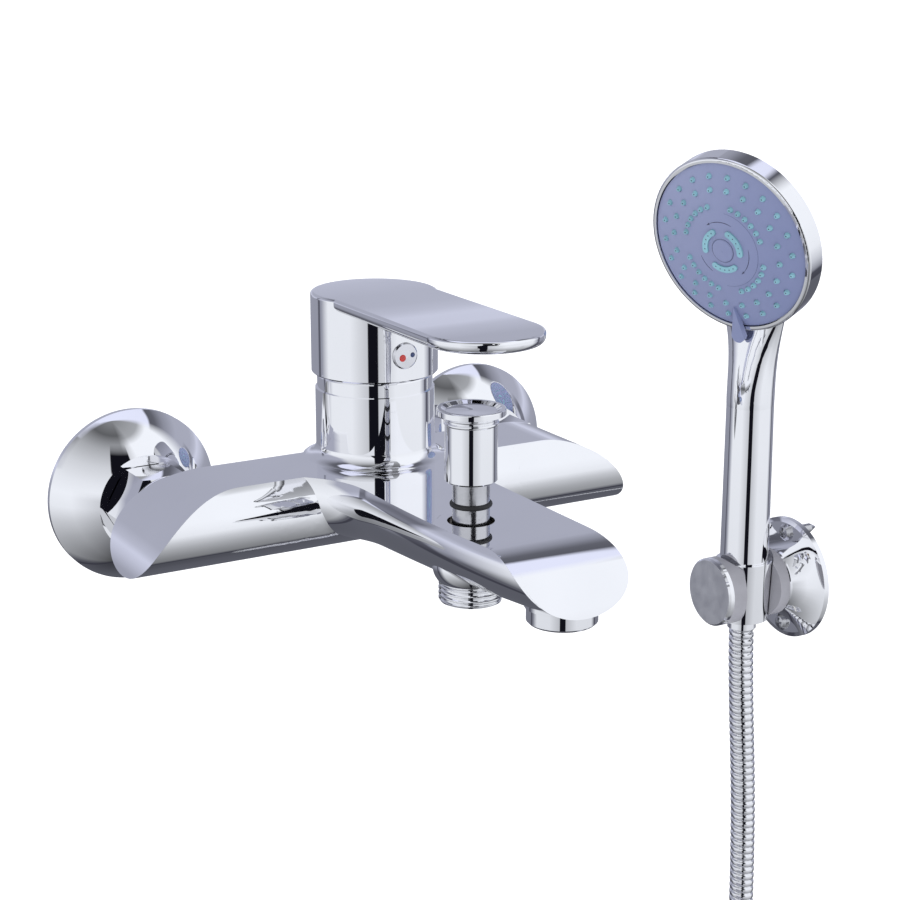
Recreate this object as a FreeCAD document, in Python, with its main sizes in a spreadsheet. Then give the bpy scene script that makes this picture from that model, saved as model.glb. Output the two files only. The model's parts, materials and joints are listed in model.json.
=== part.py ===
import FreeCAD, Part
import math
import os
import Sketcher
from FreeCAD import Placement, Rotation, Vector

# Wall bath and shower mixer with its hand shower, hose and wall bracket.
# The mixer's wall is the plane y = 0 and its user stands at -Y. X runs along the wall, Z is up.
# The origin is midway between the two inlets. The bracket hangs on a side wall that faces -X.

# Driving dimensions, in millimetres and degrees
SIZES = (
    ("inlet_spacing", 150.0),
    ("body_off", 60.0),
    ("body_r", 22.2),
    ("body_top", 46.2),
    ("hub_low", -4.0),
    ("root_fillet", 5.0),
    ("arm_off", 61.0),
    ("arm_half_y", 22.0),
    ("arm_half_z", 18.0),
    ("arm_z", 7.0),
    ("lid_z", 20.0),
    ("arm_lid_start", 63.0),
    ("arm_lid_r", 41.0),
    ("spout_reach", 205.0),
    ("spout_lid_r", 27.0),
    ("spout_root_half_x", 20.5),
    ("spout_root_half_z", 19.5),
    ("spout_root_z", 10.5),
    ("spout_tip_half_x", 20.0),
    ("spout_tip_half_z", 14.3),
    ("spout_tip_z", 13.8),
    ("armpit_fillet", 16.0),
    ("boss_r", 21.0),
    ("boss_back", 37.0),
    ("boss_round", 3.0),
    ("water_r", 6.0),
    ("wall_thread_r", 10.48),
    ("wall_thread_len", 16.0),
    ("eccentric_offset", 8.0),
    ("union_thread_r", 13.22),
    ("union_face", 26.0),
    ("eccentric_bore_r", 7.5),
    ("flange_r", 33.4),
    ("flange_depth", 17.0),
    ("flange_neck_r", 19.0),
    ("flange_wall", 1.6),
    ("flange_dome_r", 46.0),
    ("nut_flats", 30.0),
    ("nut_front", 17.6),
    ("nut_back", 36.4),
    ("nut_lip_r", 11.0),
    ("washer_thick", 2.5),
    ("collar_thick", 2.5),
    ("collar_r", 12.8),
    ("spigot_r", 10.8),
    ("run_gap", 0.05),
    ("part_gap", 0.15),
    ("seat_gap", 0.3),
    ("chamber_floor", 13.0),
    ("cartridge_r", 17.5),
    ("cartridge_shoulder", 40.0),
    ("cartridge_top", 47.0),
    ("cartridge_neck_r", 16.0),
    ("cartridge_wall", 2.6),
    ("nut_thread_r", 19.4),
    ("pivot_z", 44.0),
    ("cartridge_base", 4.0),
    ("disc_thick", 3.5),
    ("disc_r", 14.5),
    ("port_r", 3.0),
    ("seal_thick", 1.5),
    ("stem_half", 3.6),
    ("stem_arm_r", 3.4),
    ("stem_top", 69.0),
    ("stem_foot", 28.0),
    ("stem_swing", 9.2),
    ("pin_r", 2.0),
    ("ring_r", 21.5),
    ("dome_r", 22.6),
    ("dome_hole_r", 16.5),
    ("dome_wall", 1.5),
    ("handle_r", 23.5),
    ("handle_bottom", 52.0),
    ("handle_bore_r", 21.8),
    ("handle_ceiling", 73.0),
    ("lever_top", 82.2),
    ("lever_thick", 4.6),
    ("lever_half", 21.5),
    ("lever_tip", 99.5),
    ("lever_edge_r", 2.6),
    ("socket_r", 8.0),
    ("socket_bottom", 58.0),
    ("index_z", 62.0),
    ("index_r", 4.9),
    ("index_hole_r", 4.1),
    ("grub_r", 2.4),
    ("diverter_x", 12.0),
    ("diverter_inset", 54.0),
    ("diverter_hole_r", 8.1),
    ("diverter_boss_r", 12.0),
    ("diverter_belly_r", 12.9),
    ("diverter_stem_r", 6.35),
    ("diverter_stem_top", 45.0),
    ("knob_bottom", 34.0),
    ("knob_r", 8.9),
    ("knob_cap_r", 11.7),
    ("knob_cap_z", 57.8),
    ("diverter_ring_z", 26.0),
    ("diverter_ring_wire", 0.9),
    ("bush_top", 14.5),
    ("bush_bottom", 7.5),
    ("outlet_thread_r", 10.48),
    ("outlet_thread_top", -1.0),
    ("outlet_end", -8.0),
    ("aerator_inset", 15.5),
    ("aerator_r", 11.9),
    ("aerator_thread_r", 11.0),
    ("aerator_bottom", -6.0),
    ("aerator_seat", -0.4),
    ("aerator_bore_r", 9.4),
    ("aerator_top", 8.0),
    ("aerator_washer", 1.4),
    ("handset_x", 194.0),
    ("handset_off", 38.0),
    ("handset_bottom", -60.5),
    ("handset_twist", 18.0),
    ("face_tilt", 16.5),
    ("face_height", 141.2),
    ("face_lead", 20.3),
    ("head_r", 39.0),
    ("head_band", 9.5),
    ("head_back", 20.5),
    ("face_r", 36.6),
    ("face_dome_r", 124.5),
    ("face_recess", 0.8),
    ("face_thick", 2.4),
    ("head_cavity_r", 35.5),
    ("head_cavity", 8.5),
    ("chamber_r", 24.0),
    ("chamber_depth", 12.0),
    ("water_bore_r", 2.6),
    ("shaft_r", 10.6),
    ("shaft_bore_r", 5.0),
    ("hose_thread_r", 10.48),
    ("hose_thread_len", 9.0),
    ("mat_thick", 1.4),
    ("mat_r", 34.0),
    ("nozzle_rise", 1.1),
    ("nozzle_tip_r", 0.8),
    ("nozzle_foot_r", 1.25),
    ("cap_r", 5.1),
    ("cap_thick_face", 1.6),
    ("pad_width", 2.6),
    ("pad_ring_r", 8.6),
    ("pad_rise", 0.7),
    ("tab_half", 3.1),
    ("tab_reach", 43.5),
    ("tab_root", 27.0),
    ("tab_thick", 2.6),
    ("spray_plate_thick", 2.0),
    ("cone_top_r", 12.4),
    ("cone_bottom_r", 11.2),
    ("cone_len", 27.0),
    ("hose_r", 5.5),
    ("hose_bore_r", 3.6),
    ("hose_root_r", 4.8),
    ("hose_pitch", 3.3),
    ("hose_top", -92.0),
    ("hose_lean", 6.0),
    ("coil_z", -304.0),
    ("coil_mean_r", 66.0),
    ("coil_step", 11.9),
    ("coil_tail", 42.0),
    ("end_nut_flats", 24.5),
    ("end_nut_len", 15.0),
    ("ferrule_r", 6.3),
    ("ferrule_collar_r", 9.8),
    ("tie_wall", 1.2),
    ("tie_width", 9.0),
    ("cradle_z", -73.0),
    ("cradle_r", 15.0),
    ("cradle_free", 16.0),
    ("cradle_root", 14.3),
    ("cradle_slot", 12.6),
    ("cradle_flare", 19.0),
    ("cap_thick", 2.6),
    ("horn_r", 14.5),
    ("wall_reach", 26.0),
    ("plate_r", 27.0),
    ("plate_thick", 3.0),
    ("plate_lip", 2.5),
    ("horn_cove_r", 22.0),
    ("pivot_r", 6.0),
    ("pivot_len", 5.6),
    ("pivot_head_r", 7.6),
    ("screw_pitch", 42.0),
    ("screw_r", 2.0),
    ("screw_neck_r", 2.7),
    ("screw_head_r", 3.8),
    ("screw_len", 16.0),
    ("scallop_r", 12.0),
    ("scallop_off", 26.0),
)

HOSE_TURNS = 3
NODES = []

doc = FreeCAD.newDocument("ShowerMixer")
sheet = doc.addObject("Spreadsheet::Sheet", "Sizes")


class Dim:
    """A length or angle: its number now, and the sheet formula that it comes from."""

    def __init__(self, number, formula=None):
        self.number = float(number)
        self.formula = formula or repr(float(number))
        self.plain = formula is None

    def join(self, other, sign, number):
        other = dim(other)
        return Dim(number(self.number, other.number), "(%s %s %s)" % (self.formula, sign, other.formula))

    def __add__(self, other):
        return self.join(other, "+", lambda a, b: a + b)

    def __sub__(self, other):
        return self.join(other, "-", lambda a, b: a - b)

    def __mul__(self, other):
        return self.join(other, "*", lambda a, b: a * b)

    def __truediv__(self, other):
        return self.join(other, "/", lambda a, b: a / b)

    def __radd__(self, other):
        return dim(other) + self

    def __rsub__(self, other):
        return dim(other) - self

    def __rmul__(self, other):
        return dim(other) * self

    def __neg__(self):
        return dim(0) - self


def dim(value):
    return value if isinstance(value, Dim) else Dim(value)


def root(value):
    return Dim(math.sqrt(value.number), "sqrt(%s)" % value.formula)


def cosine(angle):
    return Dim(math.cos(math.radians(angle.number)), "cos(%s * 1 deg)" % angle.formula)


def sine(angle):
    return Dim(math.sin(math.radians(angle.number)), "sin(%s * 1 deg)" % angle.formula)


class Sheet:
    """The sheet's driving dimensions by name."""


s = Sheet()
for row, (alias, number) in enumerate(SIZES, 1):
    sheet.set("A%d" % row, alias)
    sheet.set("B%d" % row, str(number))
    sheet.setAlias("B%d" % row, alias)
    setattr(s, alias, Dim(number, "Sizes." + alias))
s.diverter_off = s.spout_reach - s.diverter_inset
s.aerator_off = s.spout_reach - s.aerator_inset
doc.recompute()


# Building helpers

def node(obj, name):
    """Give a finished piece its name and put it on the list of pieces."""
    obj.Label = name
    NODES.append(obj)
    return obj


def place(obj, base=(0, 0, 0), turn=None):
    """Put an object at a place whose coordinates follow the sheet."""
    base = [dim(b) for b in base]
    obj.Placement = Placement(Vector(*[b.number for b in base]), turn or Rotation())
    for axis, value in zip("xyz", base):
        if not value.plain:
            obj.setExpression("Placement.Base." + axis, value.formula)
    return obj


def fix_point(sketch, index, end, x, y):
    """Hold one end of a line or arc at sheet-driven coordinates."""
    for kind, value, axis in (("DistanceX", x, -2), ("DistanceY", y, -1)):
        if value.plain and value.number == 0:
            sketch.addConstraint(Sketcher.Constraint("PointOnObject", index, end, axis))
            continue
        number = sketch.addConstraint(Sketcher.Constraint(kind, -1, 1, index, end, value.number))
        if not value.plain:
            sketch.setExpression("Constraints[%d]" % number, value.formula)


def arc_between(start, finish, radius, side):
    """The short arc from start to finish, with its centre on the left (1) or the right (-1)."""
    along = finish - start
    half = along.Length / 2
    left = Vector(-along.y, along.x, 0).normalize()
    centre = (start + finish) / 2 + left * side * math.sqrt(max(radius * radius - half * half, 0))
    first, last = (start, finish) if side > 0 else (finish, start)
    low = math.atan2(first.y - centre.y, first.x - centre.x)
    high = math.atan2(last.y - centre.y, last.x - centre.x)
    if high <= low:
        high += 2 * math.pi
    return Part.ArcOfCircle(Part.Circle(centre, Vector(0, 0, 1), radius), low, high)


def outline(body, name, plane, points):
    """A closed sketch. Each point is (x, y), or (x, y, radius, side) where an arc leaves it."""
    sketch = body.newObject("Sketcher::SketchObject", name)
    support = [o for o in body.Origin.OriginFeatures if o.Role == plane][0]
    sketch.AttachmentSupport = [(support, "")]
    sketch.MapMode = "FlatFace"
    corners = [(dim(p[0]), dim(p[1])) for p in points]
    spots = [Vector(x.number, y.number, 0) for x, y in corners]
    ends = []
    for i, point in enumerate(points):
        start, finish = spots[i], spots[(i + 1) % len(points)]
        if len(point) == 2:
            sketch.addGeometry(Part.LineSegment(start, finish), False)
            ends.append((1, 2))
            continue
        radius, side = dim(point[2]), point[3]
        sketch.addGeometry(arc_between(start, finish, radius.number, side), False)
        ends.append((1, 2) if side > 0 else (2, 1))
        number = sketch.addConstraint(Sketcher.Constraint("Radius", i, radius.number))
        if not radius.plain:
            sketch.setExpression("Constraints[%d]" % number, radius.formula)
    for i in range(len(points)):
        after = (i + 1) % len(points)
        sketch.addConstraint(Sketcher.Constraint("Coincident", i, ends[i][1], after, ends[after][0]))
        fix_point(sketch, i, ends[i][0], *corners[i])
    return sketch


def turned(name, points, base=(0, 0, 0), turn=None):
    """A piece turned about its own Z axis; each point is (radius, height)."""
    body = doc.addObject("PartDesign::Body", name)
    sketch = outline(body, name + "_profile", "XZ_Plane", points)
    revolved = body.newObject("PartDesign::Revolution", name + "_turned")
    revolved.Profile = sketch
    revolved.ReferenceAxis = (sketch, ["V_Axis"])
    revolved.Angle = 360
    return place(body, base, turn)


def padded(name, points, height, base=(0, 0, 0), turn=None):
    """A piece cut from a flat outline in its own XY plane, rising by height."""
    body = doc.addObject("PartDesign::Body", name)
    sketch = outline(body, name + "_outline", "XY_Plane", points)
    pad = body.newObject("PartDesign::Pad", name + "_pad")
    pad.Profile = sketch
    pad.setExpression("Length", dim(height).formula)
    return place(body, base, turn)


def cylinder(name, radius, height, base=(0, 0, 0), turn=None):
    rod = doc.addObject("Part::Cylinder", name)
    rod.setExpression("Radius", dim(radius).formula)
    rod.setExpression("Height", dim(height).formula)
    return place(rod, base, turn)


def block(name, length, width, height, base, turn=None):
    """A box, with its lowest corner at base."""
    box = doc.addObject("Part::Box", name)
    for prop, value in (("Length", length), ("Width", width), ("Height", height)):
        box.setExpression(prop, dim(value).formula)
    return place(box, base, turn)


def hexagon(name, flats, height, base=(0, 0, 0), turn=None):
    prism = doc.addObject("Part::Prism", name)
    prism.Polygon = 6
    prism.setExpression("Circumradius", (flats / math.sqrt(3)).formula)
    prism.setExpression("Height", dim(height).formula)
    return place(prism, base, turn)


def fuse(name, *parts):
    joined = doc.addObject("Part::MultiFuse", name)
    joined.Shapes = list(parts)
    return joined


def cut(name, base, *tools):
    made = doc.addObject("Part::Cut", name)
    made.Base = base
    made.Tool = tools[0] if len(tools) == 1 else fuse(name + "_tools", *tools)
    return made


def common(name, first, second):
    made = doc.addObject("Part::Common", name)
    made.Base = first
    made.Tool = second
    return made


def feature(name, shape):
    made = doc.addObject("Part::Feature", name)
    made.Shape = shape
    return made


def group(name, *parts):
    """Loose solids that share one name."""
    made = doc.addObject("Part::Compound", name)
    made.Links = list(parts)
    return made


def ellipse(centre, across, rise):
    """An elliptical wire round centre; the first half axis must be the longer one."""
    curve = Part.Ellipse(centre + across, centre + rise, centre)
    return Part.Wire(curve.toShape())


def solid_of(face, along):
    return Part.Face(face).extrude(along)


TO_USER = Rotation(Vector(1, 0, 0), 90)
TO_LEFT = Rotation(Vector(0, 1, 0), -90)
TO_RIGHT = Rotation(Vector(0, 1, 0), 90)


# The cast body of the mixer

def limb_keep(flat_end, lid_r, lid_z, depth, low):
    """Outline under a lid: flat, then a quarter round that turns down at the end."""
    first = Vector(0, 0, lid_z)
    bend = Vector(flat_end, 0, lid_z)
    middle = Vector(flat_end + lid_r * math.sin(math.pi / 4), 0, lid_z - lid_r * (1 - math.cos(math.pi / 4)))
    finish = Vector(flat_end + lid_r, 0, lid_z - lid_r)
    foot = Vector(flat_end + lid_r, 0, low)
    corner = Vector(0, 0, low)
    edges = [
        Part.LineSegment(first, bend).toShape(),
        Part.Arc(bend, middle, finish).toShape(),
        Part.LineSegment(finish, foot).toShape(),
        Part.LineSegment(foot, corner).toShape(),
        Part.LineSegment(corner, first).toShape(),
    ]
    face = Part.Face(Part.Wire(edges))
    face.translate(Vector(0, -depth, 0))
    return face.extrude(Vector(0, 2 * depth, 0))


def edges_near(shape, test):
    """Edges of a shape whose middle point passes a test."""
    found = []
    for edge in shape.Edges:
        middle = edge.valueAt((edge.FirstParameter + edge.LastParameter) / 2)
        if test(middle, edge):
            found.append(edge)
    return found


def cast_body():
    centre = Vector(0, -s.arm_off.number, s.arm_z.number)
    lid_z, half_y, half_z = s.lid_z.number, s.arm_half_y.number, s.arm_half_z.number
    reach = s.arm_lid_start.number + s.arm_lid_r.number
    low = s.arm_z.number - 2 * half_z
    axis = Vector(0, -s.body_off.number, 0)

    # Both arms are one elliptical bar along X, cut on top by the lid
    start = centre - Vector(reach, 0, 0)
    bar = solid_of(ellipse(start, Vector(0, half_y, 0), Vector(0, 0, half_z)), Vector(2 * reach, 0, 0))
    right = limb_keep(s.arm_lid_start.number, s.arm_lid_r.number, lid_z, half_y * 2, low)
    right.translate(Vector(0, centre.y, 0))
    left = right.mirror(Vector(0, 0, 0), Vector(1, 0, 0))
    arms = bar.common(right.fuse(left).removeSplitter())

    # The spout is a loft towards the user, under a lid of its own
    flat_end = s.spout_reach.number - s.spout_lid_r.number
    stations = (
        (s.body_off.number, s.spout_root_half_x.number, s.spout_root_half_z.number, s.spout_root_z.number),
        (s.spout_reach.number + 1, s.spout_tip_half_x.number, s.spout_tip_half_z.number, s.spout_tip_z.number),
    )
    rings = [ellipse(Vector(0, -y, z), Vector(a, 0, 0), Vector(0, 0, b)) for y, a, b, z in stations]
    loft = Part.makeLoft(rings, True, True)
    keep = limb_keep(flat_end, s.spout_lid_r.number, lid_z, s.spout_root_half_x.number * 2, low)
    keep.rotate(Vector(0, 0, 0), Vector(0, 0, 1), -90)
    spout = loft.common(keep)

    # Wide hollows join the arms to the spout
    cast = arms.fuse(spout).removeSplitter()
    reach_y = s.arm_off.number + 2 * half_y
    pits = edges_near(cast, lambda m, e: -reach_y < m.y < -s.arm_off.number
                      and abs(m.x) < s.spout_root_half_x.number * 1.5)
    cast = cast.makeFillet(s.armpit_fillet.number, pits)

    # The lower diverter boss swells into the belly over the shower outlet
    spot = Vector(-s.diverter_x.number, -s.diverter_off.number, 0)
    boss_r, belly_r, thread_r = s.diverter_boss_r.number, s.diverter_belly_r.number, s.outlet_thread_r.number
    thread_top, outlet_end = s.outlet_thread_top.number, s.outlet_end.number
    belly_z = s.spout_tip_z.number / 2
    profile = [
        Part.LineSegment(Vector(0, 0, lid_z), Vector(boss_r, 0, lid_z)),
        Part.LineSegment(Vector(boss_r, 0, lid_z), Vector(belly_r, 0, belly_z)),
        Part.Arc(Vector(belly_r, 0, belly_z), Vector(belly_r - 0.4, 0, thread_top + 2.4),
                 Vector(thread_r + 0.5, 0, thread_top)),
        Part.LineSegment(Vector(thread_r + 0.5, 0, thread_top), Vector(thread_r, 0, thread_top)),
        Part.LineSegment(Vector(thread_r, 0, thread_top), Vector(thread_r, 0, outlet_end)),
        Part.LineSegment(Vector(thread_r, 0, outlet_end), Vector(0, 0, outlet_end)),
        Part.LineSegment(Vector(0, 0, outlet_end), Vector(0, 0, lid_z)),
    ]
    boss = Part.Face(Part.Wire([p.toShape() for p in profile])).revolve(Vector(), Vector(0, 0, 1), 360)
    boss.translate(spot)
    cast = cast.fuse(boss)

    # Rear bosses, each with the flanged spigot that a union nut draws up
    collar_y = s.union_face.number + s.washer_thick.number
    for side in (-1, 1):
        back = Vector(side * s.inlet_spacing.number / 2, -s.arm_off.number, 0)
        neck = Part.makeCylinder(s.boss_r.number, s.arm_off.number - s.boss_back.number, back, Vector(0, 1, 0))
        rim = edges_near(neck, lambda m, e: abs(m.y + s.boss_back.number) < 0.01)
        spigot = Part.makeCylinder(s.spigot_r.number, s.arm_off.number - collar_y, back, Vector(0, 1, 0))
        face = Vector(back.x, -collar_y, 0)
        collar = Part.makeCylinder(s.collar_r.number, s.collar_thick.number, face, Vector(0, -1, 0))
        cast = cast.fuse([neck.makeFillet(s.boss_round.number, rim), spigot, collar])
    seat = Vector(0, -s.aerator_off.number, s.aerator_seat.number)
    cast = cast.fuse(Part.makeCylinder(s.aerator_r.number + 0.7, s.spout_tip_z.number - seat.z, seat))
    cast = cast.fuse(barrel(axis))
    return cast.cut(Part.makeCompound(water_ways(spot)))


def barrel(axis):
    """The upright barrel, flared where it rises from the lid and drawn in under it."""
    body_r, flare, lid_z, low = s.body_r.number, s.root_fillet.number, s.lid_z.number, s.hub_low.number
    hub_r = body_r + flare
    bend = flare * (1 - math.sin(math.pi / 4))
    dip = flare / 40
    shoulder = Vector(hub_r + dip, 0, lid_z - dip)
    waist = Vector(body_r, 0, lid_z + flare)
    spots = [
        Vector(body_r, 0, s.body_top.number),
        Vector(0, 0, s.body_top.number),
        Vector(0, 0, low),
        Vector(hub_r * 0.5, 0, low),
        Vector(hub_r * 0.9, 0, (low + lid_z) / 2),
        Vector(hub_r, 0, lid_z - flare),
        shoulder,
    ]
    edges = [Part.Arc(shoulder, Vector(body_r + bend, 0, lid_z + bend), waist).toShape()]
    for start, finish in zip([waist] + spots, spots):
        edges.append(Part.LineSegment(start, finish).toShape())
    hub = Part.Face(Part.Wire(edges)).revolve(Vector(), Vector(0, 0, 1), 360)
    hub.translate(axis)
    return hub


def water_ways(spot):
    """Bores of the casting: cartridge chamber, inlets, channels, diverter and aerator seats."""
    floor = s.chamber_floor.number
    axis = Vector(0, -s.body_off.number, 0)
    up = Vector(0, 0, 1)
    water_r = s.water_r.number
    tools = [
        Part.makeCylinder(s.cartridge_r.number + s.part_gap.number, s.body_top.number, axis + up * floor, up),
        Part.makeCylinder(s.nut_thread_r.number + s.run_gap.number, s.body_top.number,
                          axis + up * s.cartridge_shoulder.number, up),
    ]
    port_x = s.disc_r.number / 2
    half = s.inlet_spacing.number / 2
    for side in (-1, 1):
        inlet = Vector(side * half, 0, 0)
        elbow = Vector(side * (half + water_r), -s.arm_off.number, 0)
        tools.append(Part.makeCylinder(water_r, s.arm_off.number, inlet, Vector(0, -1, 0)))
        tools.append(Part.makeCylinder(water_r, half + water_r - port_x, elbow, Vector(-side, 0, 0)))
        tools.append(Part.makeCylinder(s.port_r.number, floor + 1, axis + Vector(side * port_x, 0, 0), up))
    port = axis - Vector(0, port_x * 1.3, 0)
    spout_water_z = s.arm_z.number
    run = s.aerator_off.number - s.body_off.number - port_x
    tools.append(Part.makeCylinder(s.port_r.number, floor + 1 - spout_water_z, port + up * spout_water_z, up))
    tools.append(Part.makeCylinder(water_r * 0.75, run, port + up * spout_water_z, Vector(0, -1, 0)))
    thread_top, drop = s.outlet_thread_top.number, s.outlet_thread_top.number - s.outlet_end.number
    tools.append(Part.makeCylinder(s.diverter_hole_r.number, s.lid_z.number + 2 - s.outlet_end.number,
                                   spot + up * (s.outlet_end.number - 1), up))
    ring = Part.makeCylinder(s.outlet_thread_r.number + 4, drop, spot + up * (thread_top - drop), up)
    tools.append(ring.cut(Part.makeCylinder(s.outlet_thread_r.number, drop, spot + up * (thread_top - drop), up)))
    seat = Vector(0, -s.aerator_off.number, s.aerator_seat.number)
    top = s.aerator_top.number + s.aerator_washer.number
    tools.append(Part.makeCylinder(s.aerator_thread_r.number + s.run_gap.number, top - seat.z + 1, seat - up, up))
    tools.append(Part.makeCylinder(s.aerator_r.number + 0.8, drop, seat - up * drop, up))
    return tools


mixer_body = node(feature("mixer_body", cast_body()), "mixer_body")


# Wall connections, one set for each side

def wall_connections():
    face = s.union_face
    for side, hand in ((-1, "left"), (1, "right")):
        x = s.inlet_spacing / 2 * side
        low = -s.eccentric_offset
        tail = s.wall_thread_len + 2
        collar = face / 3
        wall_thread = cylinder(hand + "_wall_thread", s.wall_thread_r, tail, (x, s.wall_thread_len, low), TO_USER)
        shoulder = cylinder(hand + "_shoulder", s.wall_thread_r + 1.6, collar, (x, 0, low), TO_USER)
        union_thread = cylinder(hand + "_union_thread", s.union_thread_r, face - collar + 1,
                                (x, 1 - collar, 0), TO_USER)
        bore_wall = cylinder(hand + "_wall_bore", s.eccentric_bore_r, tail + collar - 1,
                             (x, s.wall_thread_len + 1, low), TO_USER)
        bore_union = cylinder(hand + "_union_bore", s.eccentric_bore_r + 1, face, (x, 2 - collar, 0), TO_USER)
        solid = fuse(hand + "_eccentric_solid", wall_thread, shoulder, union_thread)
        node(cut(hand + "_eccentric", solid, bore_wall, bore_union), hand + "_eccentric")

        rim, neck, depth, wall = s.flange_r, s.flange_neck_r, s.flange_depth, s.flange_wall
        throat = s.union_thread_r + s.run_gap
        lip = wall * 1.4
        flange = turned(hand + "_flange", (
            (rim - wall, 0),
            (rim, 0),
            (rim, lip, s.flange_dome_r, 1),
            (neck, depth),
            (throat, depth),
            (throat, depth - wall),
            (neck - wall / 2, depth - wall, s.flange_dome_r - wall, -1),
            (rim - wall, lip),
        ), (x, 0, 0), TO_USER)
        node(flange, hand + "_flange")

        seat = face + s.washer_thick + s.collar_thick
        reach = s.nut_back - s.nut_front
        blank = hexagon(hand + "_nut_blank", s.nut_flats, reach, (x, -s.nut_front, 0), TO_USER)
        rounding = turned(hand + "_nut_rounding", (
            (0, 0),
            (s.nut_flats / 2 + 0.4, 0),
            (s.nut_flats / 2 + 3, 1.4),
            (s.nut_flats / 2 + 3, reach - 1.4),
            (s.nut_flats / 2 + 0.4, reach),
            (0, reach),
        ), (x, -s.nut_front, 0), TO_USER)
        thread = cylinder(hand + "_nut_thread", s.union_thread_r + s.run_gap, seat - s.nut_front + s.run_gap + 1,
                          (x, 1 - s.nut_front, 0), TO_USER)
        hole = cylinder(hand + "_nut_hole", s.nut_lip_r, reach + 2, (x, 1 - s.nut_front, 0), TO_USER)
        rounded_nut = common(hand + "_nut_rounded", blank, rounding)
        node(cut(hand + "_union_nut", rounded_nut, thread, hole), hand + "_union_nut")

        washer = turned(hand + "_inlet_washer", (
            (s.eccentric_bore_r + 0.5, 0),
            (s.collar_r - 0.2, 0),
            (s.collar_r - 0.2, s.washer_thick),
            (s.eccentric_bore_r + 0.5, s.washer_thick),
        ), (x, -face, 0), TO_USER)
        node(washer, hand + "_inlet_washer")


wall_connections()


# Cartridge, dome ring and lever

LEVER_AXIS = (0, -s.body_off, 0)


def at_height(z, x=0, y=0):
    """A place measured from the lever's upright axis."""
    return (x, LEVER_AXIS[1] + y, z)


def on_sphere(radius, across):
    """Height, on a sphere round the lift pivot, of the circle of a given radius."""
    return s.pivot_z + root(radius * radius - across * across)


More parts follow.
